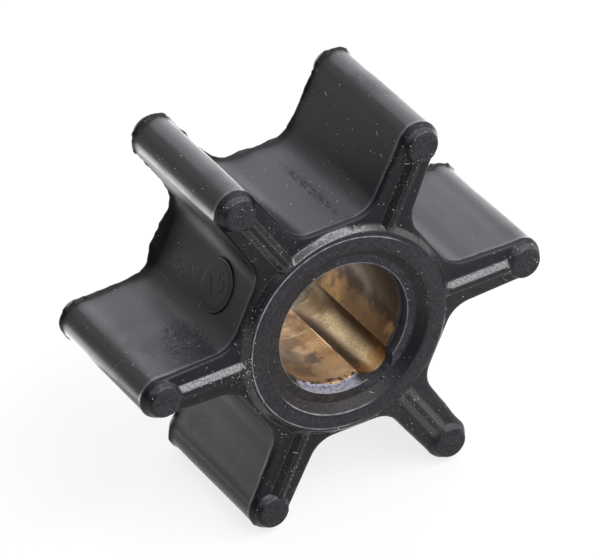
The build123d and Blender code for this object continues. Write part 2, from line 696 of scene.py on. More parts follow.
    def triangles(self) -> tuple[Array, Array, int, int]:
        """Triangles between the rim and the hole.

        Returns:
            Plan points, triangles, number of rim points and number of hole points. Rim points come
            first, then hole points.
        """
        rim = self.rim.moved(-self.sizes.rounding)
        hole = self.hole.points
        border = np.vstack([rim, hole])
        rows = [self._clear(row, rim, hole) for row in self._creases()]
        loose = np.vstack([points for points, _ in rows])
        following = np.concatenate([follows for _, follows in rows])
        keep = spaced(loose, self.GAP)
        fill = self._clear(self._fill_points(), rim, hole)[0]
        fill = fill[self._away_from(fill, loose[keep], self.FILL_STEP * 0.45)]
        number = np.cumsum(keep) - 1 + len(border)
        plan = np.vstack([border, loose[keep], fill])
        edges = [(i, (i + 1) % len(rim)) for i in range(len(rim))]
        edges += [(len(rim) + i, len(rim) + (i + 1) % len(hole)) for i in range(len(hole))]
        creases = [(number[i - 1], number[i]) for i in range(1, len(loose))
                   if following[i] and keep[i] and keep[i - 1]]
        edges += self._uncrossed(plan, creases)
        made = delaunay_2d_cdt([Vector(p) for p in plan], edges, [], 0, 1e-7, True)
        source = np.array([origins[0] for origins in made[3]])
        faces = source[np.array(made[2])]
        middles = plan[faces].mean(axis=1)
        faces = faces[inside(rim, middles) & ~inside(hole, middles)]
        return plan, faces, len(rim), len(hole)


class Seam(Enum):
    """Where the two halves of the mould left their mark on the side walls."""

    FRONT = "front"
    BACK = "back"


@dataclass
class RubberMoulding:
    """The rubber body in one closed mesh, with the thin flash of its two mould seams."""

    BEAD_ROWS = ((0.04, 1.0), (0.1, 0.9), (0.16, 0.0))  # below the shoulder, share of the bead
    SKIRT_ROWS = ((0.5, 0.16), (0.3, 0.5), (0.16, 0.86), (0.09, 1.0), (0.03, 0.98), (0.0, 0.06))

    sizes: Sizes
    step: float = 0.22
    bead: float = 0.06             # flash of the front seam
    spike: float = 0.14
    skirt: float = 0.34            # flash of the back seam
    skirt_on_bulb: float = 0.7
    flap: float = 1.2              # torn flap on one flat of the hub
    flap_angle: float = 150.0
    flap_spread: float = 22.0
    flap_end: float = 13.4
    thin_radius: float = 14.6      # where the flash of the back seam is thinnest
    wave: float = 0.025            # swell of the side walls
    wave_grain: float = 4.5
    end_wave: float = 0.012        # and of the end faces
    end_grain: float = 0.8
    ring_dust: float = 2.0         # times as much dust as elsewhere
    corner_dust: float = 7.0
    corner_angle: float = 168.0
    corner_spread: float = 32.0
    sharp_angle: float = 62.0      # edges steeper than this stay crisp
    rim: Loop = field(init=False)

    def __post_init__(self) -> None:
        """Works out the plan outline."""
        self.rim = VanePlan(self.sizes, self.step).loop()

    def _rolled(self, start: float, end: float) -> list[tuple[float, float]]:
        """Rows over the round edge.

        Args:
            start: Angle of the first row, from 0 at the wall to 90 at the end face.
            end: Angle of the last row.

        Returns:
            Height and outward offset of each row.
        """
        s = self.sizes
        rows = []
        for angle in np.linspace(start, end, 6):
            turn = math.radians(angle)
            offset = -s.rounding * (1 - math.cos(turn))
            rows.append((s.shoulder + s.rounding * math.sin(turn), offset))
        return rows

    def _off_floor(self, plan_z: Array) -> Array:
        """0 at the lowest point of the part and 1 from a little above it.

        Args:
            plan_z: Places up the plan.

        Returns:
            One share for each place.
        """
        s = self.sizes
        lowest = -(s.bulb_centre * math.sin(math.radians(60)) + s.bulb_radius)
        return np.clip((plan_z - lowest - 0.05) / 1.2, 0, 1)

    def _ragged(self, seam: Seam) -> Array:
        """How far the flash of a seam stands out at each point of the outline.

        Args:
            seam: Which seam.

        Returns:
            One distance for each point.
        """
        s = self.sizes
        points = lift(self.rim.points, 0.0)
        from_axis = np.hypot(*self.rim.points.T)
        on_bulb = np.clip((from_axis - s.bulb_centre + s.bulb_radius) / 0.8, 0, 1)
        free = self._off_floor(self.rim.points[:, 1])
        if seam is Seam.FRONT:
            width = self.bead * np.clip(0.75 + 0.6 * noise_at(points, 1.3, 5.0), 0.2, 1.3)
            spikes = np.clip((noise_at(points, 0.5, 21.0) - 0.3) / 0.2, 0, 1)
            return np.maximum(width, self.spike * spikes * on_bulb) * free
        rough = 0.6 * noise_at(points, 1.7, 11.0) + 0.3 * noise_at(points, 0.55, 3.0)
        width = self.skirt * np.clip(0.9 + rough, 0.1, 1.8)
        torn = np.clip((noise_at(points, 0.6, 31.0) - 0.2) / 0.25, 0, 1)
        width = width * (1 - on_bulb * (1 - self.skirt_on_bulb)) + self.spike * torn * on_bulb
        bearing = np.degrees(np.arctan2(self.rim.points[:, 1], self.rim.points[:, 0])) % 360
        near_flap = np.clip(1.25 - np.abs(bearing - self.flap_angle) / self.flap_spread, 0, 1)
        on_hub = np.clip((self.flap_end - from_axis) / 1.2, 0, 1)
        torn = 0.95 + 0.35 * noise_at(points, 2.6, 7.0) + 0.14 * noise_at(points, 0.7, 1.0)
        width = np.maximum(width, self.flap * near_flap * on_hub * np.clip(torn, 0.3, 1.4))
        on_web = np.exp(-(((from_axis - self.thin_radius) / 1.6) ** 2))
        return width * (1 - 0.6 * on_web * (1 - near_flap)) * np.maximum(free, 0.02)

    def _wall_rows(self) -> list[tuple[float, Array | float]]:
        """Rows of the side wall, from the front edge to the back edge.

        Returns:
            Place along the shaft and outward offset of each row.
        """
        s = self.sizes
        bead, skirt = self._ragged(Seam.FRONT), self._ragged(Seam.BACK)
        rows: list[tuple[float, Array | float]] = []
        rows += [(-height, offset) for height, offset in self._rolled(90, 0)]
        rows += [(-s.shoulder + below, bead * share) for below, share in self.BEAD_ROWS]
        rows += [(place, 0.0) for place in np.linspace(-s.shoulder + 0.5, s.shoulder - 0.85, 20)]
        rows += [(s.shoulder - below, skirt * share) for below, share in self.SKIRT_ROWS]
        return rows + self._rolled(4, 90)

    def build(self) -> Object:
        """Makes the closed mesh and its attributes for the material.

        Returns:
            The moulding, with two material slots in use.
        """
        s = self.sizes
        hole = keyed_circle(s, s.lip)
        cap = EndCap(s, self.rim, hole)
        plan, triangles, rim_count, hole_count = cap.triangles()
        builder = MeshBuilder()
        heights = cap.height(plan)
        front = builder.add(lift(plan, -heights))
        back = builder.add(lift(plan, heights))
        one, two, three = (plan[triangles[:, corner]] for corner in range(3))
        clockwise = np.cross(two - one, three - one) < 0
        triangles[clockwise] = triangles[clockwise][:, ::-1]
        builder.faces += [tuple(int(i) for i in front[t]) for t in triangles]
        builder.faces += [tuple(int(i) for i in back[t[::-1]]) for t in triangles]

        row_before = front[:rim_count]
        blend = 0.02
        for place, offset in self._wall_rows()[1:-1]:
            points = self.rim.moved(offset)
            wide = np.full(len(points), abs(place))
            if abs(place) > s.shoulder:
                wide = smooth_max(wide, cap.relief(points), blend)
                wide = np.where(wide > abs(place) + blend, wide, abs(place))
            row = builder.add(lift(points, np.sign(place) * wide))
            builder.bridge(row_before, row)
            row_before = row
        builder.bridge(row_before, back[:rim_count])

        rim_to_back = [
            lift(hole.points, -s.bush_half_length),
            lift(hole.normals * s.bush_radius, -s.bush_half_length),
            lift(hole.normals * s.bush_radius, s.bush_half_length),
            lift(hole.points, s.bush_half_length),
        ]
        row_before = front[rim_count:rim_count + hole_count]
        for points in rim_to_back:
            row = builder.add(points)
            builder.bridge(row_before, row, flip=True)
            row_before = row
        builder.bridge(row_before, back[rim_count:rim_count + hole_count], flip=True)
        body = builder.object("rubber_moulding")
        self._mark(body)
        self._choose_finish(body)
        body.data.set_sharp_from_angle(angle=math.radians(self.sharp_angle))
        return body

    def _choose_finish(self, body: Object) -> None:
        """Gives the drafted flanks of the ribs and the ring the second material slot.

        Args:
            body: The moulding.
        """
        s = self.sizes
        middle = np.array([face.center for face in body.data.polygons]) / MM
        height = np.abs(middle[:, 1])
        radius, along, across = s.folded(middle[:, 0], middle[:, 2])
        from_bulb = np.hypot(along - s.bulb_centre, across)
        on_end = (height > s.face + 0.02) & (height < s.half_length - 0.02)
        rib = (across > s.rib_top) & (across < s.rib_base + 0.02) & (along > s.ring_shoulder)
        rib &= (from_bulb > s.nub_base - 0.05) & (along < s.bulb_centre)
        ring = (radius > s.ring_shoulder) & (radius < s.ring_base + 0.02)
        slots = (on_end & (rib | ring)).astype(np.int32)
        body.data.polygons.foreach_set("material_index", slots)

    def _mark(self, body: Object) -> None:
        """Waves the side walls and ends a little, and marks the faces that dust can reach.

        Args:
            body: The moulding.
        """
        s = self.sizes
        mesh = body.data
        points = np.empty(len(mesh.vertices) * 3)
        mesh.vertices.foreach_get("co", points)
        points = points.reshape(-1, 3) / MM
        x, y, z = points.T
        height = np.abs(y)
        from_axis = np.maximum(np.hypot(x, z), 1e-6)
        off_floor = self._off_floor(z)
        off_bush = from_axis > s.bush_radius + 0.5
        on_wall = np.clip((s.shoulder - height) / 1.0, 0, 1) * off_bush
        swell = self.wave * on_wall * noise_at(points, self.wave_grain, 2.0) * off_floor
        moved = points.copy()
        moved[:, 0] += x / from_axis * swell
        moved[:, 2] += z / from_axis * swell
        on_end = (height > s.shoulder) & (from_axis > s.mouth_floor)
        ripple = self.end_wave * noise_at(points, self.end_grain, 9.0)
        moved[:, 1] += np.sign(y) * on_end * ripple
        mesh.vertices.foreach_set("co", (moved * MM).ravel())
        outside = (height > s.bush_half_length + 0.3) | off_bush
        at_end = height > s.face - 0.1
        bearing = np.degrees(np.arctan2(z, x)) % 360
        catches = np.where(at_end & (from_axis > s.ring_shoulder), self.ring_dust, 1.0)
        in_corner = at_end & (np.abs(from_axis - s.ring_base) < 0.8)
        in_corner &= np.abs(bearing - self.corner_angle) < self.corner_spread
        catches = np.where(in_corner, self.corner_dust, catches)
        is_open = (from_axis > s.lip + 0.1) & outside & (off_floor > 0.25)
        store(mesh, "open_face", is_open * catches)
        mesh.update()


@dataclass
class LipFlash:
    """Ragged film of rubber that crept over each end of the bush, most of all on one side."""

    sizes: Sizes
    thickness: float = 0.12
    creep: float = 0.11
    most_creep: float = 0.26
    most_angle: float = 250.0
    most_spread: float = 34.0
    in_keyway: float = -0.12
    furthest: float = 0.3

    def build(self) -> Object:
        """Makes one closed ring at each end.

        Returns:
            Both rings in one mesh.
        """
        s = self.sizes
        builder = MeshBuilder()
        bore, lip = keyed_circle(s, s.bore), keyed_circle(s, s.lip)
        for end in (-1, 1):
            spots = lift(bore.points, end * s.bush_half_length)
            towards = bore.normals @ unit(self.most_angle)
            most = np.clip((towards - math.cos(math.radians(self.most_spread))) / 0.1, 0, 1)
            rough = 0.35 + 1.1 * noise_at(spots, 1.1, 4.0) + 0.7 * noise_at(spots, 0.4, 8.0)
            drops = np.clip(0.2 + 1.6 * noise_at(spots, 0.5, 13.0), 0, 1)
            ragged = self.creep * rough
            ragged += self.most_creep * most * drops
            ragged = np.where(np.hypot(*bore.points.T) > s.bore + 0.02, self.in_keyway, ragged)
            ragged = np.clip(ragged, self.in_keyway, self.furthest)
            tongue = bore.points - bore.normals * ragged[:, None]
            root = lip.points + lip.normals * 0.1
            low = s.bush_half_length + 0.01
            profile = [(tongue, low), (root, low), (root, low + self.thickness * 1.4),
                       (tongue, low + self.thickness * 0.5)]
            rows = [builder.add(lift(points, end * height)) for points, height in profile]
            for one, two in zip(rows, rows[1:] + rows[:1]):
                builder.bridge(one, two, flip=end > 0)
        return builder.object("rubber_lip_flash")


@dataclass
class InsertPad:
    """Round mark of the mould insert on one hub flat, with a plain cavity number."""

    sizes: Sizes
    radius: float = 2.58
    stand: float = 0.15
    groove: float = 0.022
    number: str = "15"
    number_height: float = 2.5
    number_rise: float = 0.012
    number_bevel: float = 0.022
    number_spacing: float = 1.3
    number_turn: float = 53.4
    around: int = 96               # points round the disc

    def _surface(self, across: Array) -> Array:
        """Distance of the hub's side from the axis, along the pad's normal.

        Args:
            across: Places across the pad.

        Returns:
            One distance for each place.
        """
        s = self.sizes
        half_turn = math.pi / s.vanes
        fillet_middle = s.hub_flat + s.root_fillet
        corner = fillet_middle * math.tan(half_turn) - s.root_fillet / math.cos(half_turn)
        half_flat = corner - s.web_root / math.cos(half_turn)
        over = np.clip(np.abs(across) - half_flat, 0, s.root_fillet)
        return fillet_middle - np.sqrt(s.root_fillet**2 - over**2)

    def _placed(self, across: Array, along: Array, out: Array) -> Array:
        """Points in space from their place on the pad.

        Args:
            across: Places round the hub.
            along: Places along the shaft.
            out: Distances from the axis.

        Returns:
            Rows of x, y, z in millimetres.
        """
        ray, side = unit(self.sizes.pad_angle), unit(self.sizes.pad_angle + 90)
        plan = ray * np.reshape(out, (-1, 1)) + side * np.reshape(across, (-1, 1))
        return lift(plan, self.sizes.pad_offset + along)

    def build(self) -> Object:
        """Makes the disc with its rounded edge and its underside, sunk in the hub.

        Returns:
            The disc.
        """
        builder = MeshBuilder()
        angles = 2 * math.pi * np.arange(self.around) / self.around
        edge, top, low = self.radius, self.stand, self.stand - self.groove
        steps = [(0.8, top), (1.7, top), (edge - 0.32, top), (edge - 0.25, low),
                 (edge - 0.16, low), (edge - 0.09, top), (edge - 0.05, top - 0.01),
                 (edge - 0.02, top - 0.04), (edge, top - 0.09), (edge + 0.02, -0.05)]
        rows = []
        for radius, rise in steps:
            across, along = radius * np.cos(angles), radius * np.sin(angles)
            rows.append(builder.add(self._placed(across, along, self._surface(across) + rise)))
        for inner, outer in zip(rows, rows[1:]):
            builder.bridge(inner, outer)
        for row, rise in ((rows[0], self.stand), (rows[-1], -0.4)):
            middle = self._placed(np.zeros(1), np.zeros(1), np.array([self.sizes.hub_flat + rise]))
            builder.fan(row, middle[0])
        pad = builder.object("insert_pad")
        recalculate(pad)
        return pad

    def build_number(self) -> Object:
        """Makes the raised number as a closed mesh on top of the pad.

        Returns:
            The number.
        """
        curve = bpy.data.curves.new("cavity_number", "FONT")
        curve.body = self.number
        curve.size = self.number_height * MM
        curve.space_character = self.number_spacing
        curve.extrude = self.number_rise * MM
        curve.bevel_depth = self.number_bevel * MM
        curve.bevel_resolution = 1
        curve.align_x = "CENTER"
        curve.align_y = "CENTER"
        mesh = plain_mesh(linked("cavity_number_text", curve), "cavity_number")
        ray, side = unit(self.sizes.pad_angle), -unit(self.sizes.pad_angle + 90)
        out, across = Vector((ray[0], 0, ray[1])), Vector((side[0], 0, side[1]))
        forward = Vector((0, -1, 0))
        turn = math.radians(self.number_turn)
        right = forward * math.sin(turn) + across * math.cos(turn)
        upright = out.cross(right)
        place = Matrix((right, upright, out)).transposed().to_4x4()
        middle = out * (self.sizes.hub_flat + self.stand) + Vector((0, self.sizes.pad_offset, 0))
        place.translation = middle * MM
        mesh.transform(place)
        return linked("cavity_number", mesh)


def recalculate(piece: Object) -> None:
    """Turns every face of a closed mesh outwards.

    Args:
        piece: Object with the mesh.
    """
    work = bmesh.new()
    work.from_mesh(piece.data)
    bmesh.ops.remove_doubles(work, verts=work.verts, dist=1e-7)
    bmesh.ops.recalc_face_normals(work, faces=work.faces)
    work.to_mesh(piece.data)
    work.free()
    piece.data.update()


@dataclass
class BronzeBush:
    """The bored and keyed bush, in one closed mesh."""

    sizes: Sizes
    chamfer: float = 0.22
    back_chamfer: float = 0.06
    inside_rubber: float = 0.01
    sharp_angle: float = 28.0

    def build(self) -> Object:
        """Makes the bush with fine rows along the bore.

        Returns:
            The bush.
        """
        s = self.sizes
        builder = MeshBuilder()
        bore = keyed_circle(s, s.bore)
        outer = bore.normals * (s.bush_radius - self.inside_rubber)
        end = s.bush_half_length - self.inside_rubber
        rows = [builder.add(lift(outer, -end)), builder.add(lift(outer, end))]
        rows.append(builder.add(lift(keyed_circle(s, s.bore + self.back_chamfer).points, end)))
        for place in np.linspace(end - self.back_chamfer, -end + self.chamfer, 14):
            rows.append(builder.add(lift(bore.points, place)))
        rows.append(builder.add(lift(keyed_circle(s, s.bore + self.chamfer).points, -end)))
        for one, two in zip(rows, rows[1:] + rows[:1]):
            builder.bridge(one, two)
        bush = builder.object("bronze_bush")
        recalculate(bush)
        bush.data.set_sharp_from_angle(angle=math.radians(self.sharp_angle))
        return bush


# Finishes ------------------------------------------------------------------------------------


def linear(hex_colour: str) -> tuple[float, float, float, float]:
    """Linear colour of an sRGB hex value.

    Args:
        hex_colour: Six hex digits after a hash sign.

    Returns:
        Red, green, blue and alpha from 0 to 1.
    """
    parts = [int(hex_colour[i:i + 2], 16) / 255 for i in (1, 3, 5)]
    light = [c / 12.92 if c <= 0.04045 else ((c + 0.055) / 1.055) ** 2.4 for c in parts]
    return (light[0], light[1], light[2], 1.0)


def per_metre(size_mm: float) -> float:
    """Scale of a texture whose features are this many millimetres apart."""
    return 1 / (size_mm * MM)


def add_node(
    tree: Tree, kind: str, inputs: dict[int | str, object] | None = None, **settings: object
) -> bpy.types.Node:
    """Adds one node with its settings and links.

    Args:
        tree: Node tree that gets the node.
        kind: Blender's name of the node type.
        inputs: Socket name or number, with a value or an output socket to link.
        settings: Properties of the node.

    Returns:
        The node.
    """
    node = tree.nodes.new(kind)
    for name, value in settings.items():
        setattr(node, name, value)
    for socket, value in (inputs or {}).items():
        if isinstance(value, Socket):
            tree.links.new(value, node.inputs[socket])
        else:
            node.inputs[socket].default_value = value
    return node


def new_material(name: str) -> tuple[Material, Tree]:
    """An empty node material.

    Args:
        name: Name of the material.

    Returns:
        The material and its tree.
    """
    material = bpy.data.materials.new(name)
    material.use_nodes = True
    material.node_tree.nodes.clear()
    return material, material.node_tree


def ramp(
    tree: Tree, value: Socket, low: float, high: float, start: float = 0.0, end: float = 1.0
) -> Socket:
    """Maps a value from one range to another, smoothly and within its ends."""
    inputs = {0: value, 1: low, 2: high, 3: start, 4: end}
    return add_node(tree, "ShaderNodeMapRange", inputs, interpolation_type="SMOOTHSTEP").outputs[0]


def chained(tree: Tree, operation: str, *values: Socket | float) -> Socket:
    """Joins values one after another by the same arithmetic.

    Args:
        tree: Node tree.
        operation: Blender's name of the arithmetic.
        *values: Two values or more.

    Returns:
        Socket of the result.
    """
    result = values[0]
    for value in values[1:]:
        inputs = {0: result, 1: value}
        result = add_node(tree, "ShaderNodeMath", inputs, operation=operation).outputs[0]
    return result


def product(tree: Tree, *values: Socket | float) -> Socket:
    """Values multiplied together."""
    return chained(tree, "MULTIPLY", *values)


def either(tree: Tree, *values: Socket) -> Socket:
    """The largest of several values."""
    return chained(tree, "MAXIMUM", *values)


def band(tree: Tree, value: Socket, low: float, high: float, soft: float) -> Socket:
    """1 where a value lies between two ends, 0 outside, with soft edges."""
    above = ramp(tree, value, low - soft, low + soft)
    return product(tree, above, ramp(tree, value, high - soft, high + soft, 1.0, 0.0))


def seen_ray(tree: Tree) -> Socket:
    """1 for the rays that show the surroundings: camera, gloss and glass."""
    ray = add_node(tree, "ShaderNodeLightPath").outputs
    return either(tree, ray["Is Camera Ray"], ray["Is Glossy Ray"], ray["Is Transmission Ray"])


def mixed(tree: Tree, share: Socket, first: object, second: object, kind: str = "RGBA") -> Socket:
    """Value between two colours or two numbers.

    Args:
        tree: Node tree.
        share: 0 for the first and 1 for the second.
        first: First value.
        second: Second value.
        kind: RGBA for colours and FLOAT for numbers.

    Returns:
        Socket of the result.
    """
    one, two, result = {"RGBA": (6, 7, 2), "FLOAT": (2, 3, 0)}[kind]
    inputs = {0: share, one: first, two: second}
    return add_node(tree, "ShaderNodeMix", inputs, data_type=kind).outputs[result]


class AxisMap:
    """Where a point lies round the shaft axis.

    Gives node sockets: place in metres, the same scaled to millimetres, depth along the shaft,
    radius from the axis, and bearing in radians from +X towards +Z.
    """

    def __init__(self, tree: Tree) -> None:
        """Adds the nodes of the map.

        Args:
            tree: Tree of the material.
        """
        self.tree = tree
        self.place = add_node(tree, "ShaderNodeTexCoord").outputs["Object"]
        inputs = {0: self.place, 1: (1 / MM,) * 3}
        scaled = add_node(tree, "ShaderNodeVectorMath", inputs, operation="MULTIPLY")
        self.scaled = scaled.outputs[0]
        x, self.depth, z = add_node(tree, "ShaderNodeSeparateXYZ", {0: self.scaled}).outputs
        self.flat = add_node(tree, "ShaderNodeCombineXYZ", {0: x, 1: z}).outputs[0]
        length = add_node(tree, "ShaderNodeVectorMath", {0: self.flat}, operation="LENGTH")
        self.radius = length.outputs["Value"]
        self.bearing = chained(tree, "ARCTAN2", z, x)


class VaneMap(AxisMap):
    """The same, folded so that all six vanes share one map.

    Adds distance along and across the nearest vane and height from the middle plane, in
    millimetres.
    """

    def __init__(self, tree: Tree, sizes: Sizes) -> None:
        """Adds the nodes of the map.

        Args:
            tree: Tree of the material.
            sizes: Sizes of the moulding.
        """
        super().__init__(tree)
        fold = chained(tree, "PINGPONG", self.bearing, math.pi / sizes.vanes)
        cosine = add_node(tree, "ShaderNodeMath", {0: fold}, operation="COSINE").outputs[0]
        sine = add_node(tree, "ShaderNodeMath", {0: fold}, operation="SINE").outputs[0]
        self.along = product(tree, self.radius, cosine)
        self.across = product(tree, self.radius, sine)
        height = add_node(tree, "ShaderNodeMath", {0: self.depth}, operation="ABSOLUTE")
        self.height = height.outputs[0]

    def towards(self, angle: float) -> Socket:
        """Cosine of each point's bearing from a direction in the plan, in degrees."""
        turned = chained(self.tree, "SUBTRACT", self.bearing, math.radians(angle))
        return add_node(self.tree, "ShaderNodeMath", {0: turned}, operation="COSINE").outputs[0]


@dataclass(frozen=True)
class Scuff:
    """A worn patch of the rubber: an oval in space, filled with dull, dark or pale fine marks."""

    centre: tuple[float, float, float]
    reach: tuple[float, float, float]
    grain: tuple[float, float, float]
    dark: float = 0.0
    pale: float = 0.0

    def mask(self, tree: Tree, place: Socket) -> Socket:
        """1 on the marks and 0 between and around them.

        Args:
            tree: Tree of the material.
            place: Position in millimetres.

        Returns:
            Socket of the mask.
        """
        kind = "ShaderNodeVectorMath"
        away = add_node(tree, kind, {0: place, 1: self.centre}, operation="SUBTRACT").outputs[0]
        part = add_node(tree, kind, {0: away, 1: self.reach}, operation="DIVIDE").outputs[0]
        far = add_node(tree, kind, {0: part}, operation="LENGTH").outputs["Value"]
        fine = add_node(tree, kind, {0: place, 1: self.grain}, operation="DIVIDE").outputs[0]
        inputs = {"Vector": fine, "Scale": 1.0, "Detail": 3.0}
        marks = add_node(tree, "ShaderNodeTexNoise", inputs).outputs["Fac"]
        return product(tree, ramp(tree, far, 0.55, 1.1, 1.0, 0.0), ramp(tree, marks, 0.52, 0.6))


@dataclass(frozen=True)
class MouldedRubber:
    """Nitrile rubber, compression moulded in a machined steel tool.

    It is nearly black and satin: broad soft reflections on the webs, sharper ones on the polished
    heads of the vanes, whose colour is also a little lighter as painted sheen, a faint grain from
    the tool, duller smudges from handling, pale lines painted as highlights on the rim of the boss
    ring and of the mouth, thin dark lines painted as shade at the foot and the edge of the mouth, a
    painted highlight on the upward flanks of the wear nubs, and a dry dusty film on the ring, in
    the mouth and on the nubs. The film is left off the shaded side of the cone as painted shade,
    and it carries a lilac-grey painted sheen on the lit side of the mouth floor and a pale painted
    highlight low on the wall of the lip's hole.
    """

    # The real grain of the tool is under 0.05 mm. It is drawn at 0.25 mm, so that it shows.

    sizes: Sizes
    colour: str = "#0e0d13"
    smudge_colour: str = "#19191c"
    film_colour: str = "#2f2e31"
    mouth_colour: str = "#302d27"
    # painted sheen: lilac grey on the lit side of the mouth floor
    floor_colour: str = "#34343a"
    # painted highlight low on the wall of the lip's hole
    lip_wall_highlight_colour: str = "#9a99a6"
    notch_colour: str = "#8a7859"
    # painted highlight of the rim and seam lines, also the colour of pale scuffs
    highlight_and_scuff_colour: str = "#8c8a8e"
    # painted highlight on the upward flanks of the wear nubs
    nub_highlight_colour: str = "#434145"
    # painted shade at the foot and the edge of the mouth
    mouth_shade_line_colour: str = "#08080a"
    # painted sheen: the heads are painted a little lighter, standing in for their stronger
    # reflection
    head_sheen_colour: str = "#19191b"
    roughness: float = 0.36
    hub_roughness: float = 0.44
    head_roughness: float = 0.27
    smudge_roughness: float = 0.46
    film_roughness: float = 0.55
    scuff_roughness: float = 0.6
    ior: float = 1.32
    grain_mm: float = 0.25
    speckle_mm: float = 0.28
    patch_mm: float = 1.1
    smudge_mm: float = 7.0
    grain_depth_mm: float = 0.005
    scuff_depth_mm: float = 0.03
    rim_shift: float = 0.14
    rim_radius: float = 9.66
    # the ring's painted highlight fades out on the side away from this bearing
    ring_highlight_angle: float = 160.0
    # the mouth's painted highlight lies only on the side towards this bearing
    mouth_highlight_angle: float = 247.0
    shaded_angle: float = 322.0
    lit_floor_angle: float = 10.0
    # the lip wall's painted highlight lies on the side towards this bearing
    lit_lip_wall_angle: float = 252.0
    scuffs: tuple[Scuff, ...] = (
        Scuff((-13.7, -4.6, 2.1), (2.4, 4.2, 0.9), (0.22, 0.17, 0.2), dark=1.0),
        Scuff((1.3, -1.6, 10.9), (0.55, 5.6, 0.8), (0.13, 0.8, 0.3), dark=0.9),
        Scuff((-9.9, 2.8, 4.6), (0.9, 2.7, 2.1), (0.16, 0.16, 0.9), pale=0.3),
    )

    def _painted_rim_highlights(self, spot: VaneMap, patchy: Socket) -> Socket:
        """Pale lines painted as highlights round the ring, the mouth and the lip, and along the
        mould seams.

        Args:
            spot: Map of the vanes.
            patchy: Noise that breaks the lines.

        Returns:
            Socket of the mask.
        """
        tree, s = spot.tree, self.sizes
        on_top = ramp(tree, spot.height, s.half_length - 0.14, s.half_length - 0.1)
        inputs = {0: spot.flat, 1: (self.rim_shift, 0, 0)}
        shifted = add_node(tree, "ShaderNodeVectorMath", inputs, operation="ADD").outputs[0]
        length = add_node(tree, "ShaderNodeVectorMath", {0: shifted}, operation="LENGTH")
        rim = self.rim_radius
        ring = product(tree, band(tree, length.outputs["Value"], rim - 0.05, rim + 0.05, 0.04),
                       on_top, ramp(tree, spot.towards(self.ring_highlight_angle), -0.5, -0.15))
        mouth = product(tree, band(tree, spot.radius, s.mouth - 0.06, s.mouth + 0.04, 0.04),
                        on_top, ramp(tree, spot.towards(self.mouth_highlight_angle), 0.75, 0.92))
        lip = product(tree, band(tree, spot.radius, s.lip - 0.1, s.lip + 0.06, 0.03),
                      band(tree, spot.height, s.floor - 0.12, s.floor + 0.05, 0.03), 0.7)
        seam = product(tree, band(tree, spot.height, s.shoulder - 0.12, s.shoulder - 0.02, 0.03),
                       ramp(tree, spot.radius, s.bush_radius, s.bush_radius + 0.5), 0.45)
        lines = either(tree, ring, mouth, seam, lip)
        return product(tree, lines, ramp(tree, patchy, 0.3, 0.6, 0.35, 1.0))

    def _film(self, spot: VaneMap, patchy: Socket) -> Socket:
        """Dusty film on the ring, in the mouth and on top of the nubs, and a pale tone on one
        side's end faces. The film is left off the shaded side of the cone, which stays dark there
        as painted shade.

        Args:
            spot: Map of the vanes.
            patchy: Noise that thins the film.

        Returns:
            Socket of the mask.
        """
        tree, s = spot.tree, self.sizes
        towards_shade = spot.towards(self.shaded_angle)
        in_cone = band(tree, spot.radius, s.mouth_floor, s.mouth, 0.03)
        # painted shade: the film is left off the side of the cone that lies in shade
        shaded = product(tree, in_cone, ramp(tree, towards_shade, 0.75, 0.95))
        ring = product(tree, ramp(tree, spot.radius, s.ring_shoulder, s.ring_flat + 0.2),
                       ramp(tree, spot.height, s.bush_half_length - 0.1, s.bush_half_length + 0.1),
                       ramp(tree, shaded, 0.0, 1.0, 1.0, 0.1))
        head = s.bulb_centre
        nub = product(tree, ramp(tree, spot.along, head - s.nub_base, head - s.nub_top),
                      ramp(tree, spot.height, s.half_length - 0.08, s.half_length - 0.04))
        face = product(tree, ramp(tree, spot.height, s.face - 0.15, s.face - 0.05),
                       ramp(tree, spot.radius, s.ring_base, s.ring_base + 0.4),
                       ramp(tree, towards_shade, 0.45, 0.95), 0.8)
        dry = either(tree, ring, nub, face)
        return product(tree, dry, ramp(tree, patchy, 0.3, 0.65, 0.6, 1.0))

    def _painted_mouth_shade_lines(self, spot: VaneMap, patchy: Socket) -> Socket:
        """Dark lines painted as shade at the foot and the edge of the mouth.

        Args:
            spot: Map of the vanes.
            patchy: Noise that breaks the lines.

        Returns:
            Socket of the mask.
        """
        tree, s = spot.tree, self.sizes
        foot = band(tree, spot.radius, s.mouth_floor - 0.06, s.mouth_floor + 0.02, 0.03)
        edge = band(tree, spot.radius, s.mouth + 0.16, s.mouth + 0.22, 0.03)
        raised = ramp(tree, spot.height, s.bush_half_length, s.floor - 0.2)
        worn = ramp(tree, patchy, 0.35, 0.5, 0.3, 0.9)
        return product(tree, either(tree, foot, edge), raised, worn)

    def _in_hole(self, spot: VaneMap) -> Socket:
        """1 on the wall of the hole through a lip, its keyway included.

        Args:
            spot: Map of the vanes.

        Returns:
            Socket of the mask.
        """
        tree, s = spot.tree, self.sizes
        in_keyway = product(tree, ramp(tree, spot.towards(s.key_angle), 0.95, 0.965),
                            ramp(tree, spot.radius, s.mouth_floor, s.mouth_floor - 0.06))
        return either(tree, in_keyway, ramp(tree, spot.radius, s.lip + 0.08, s.lip + 0.02))

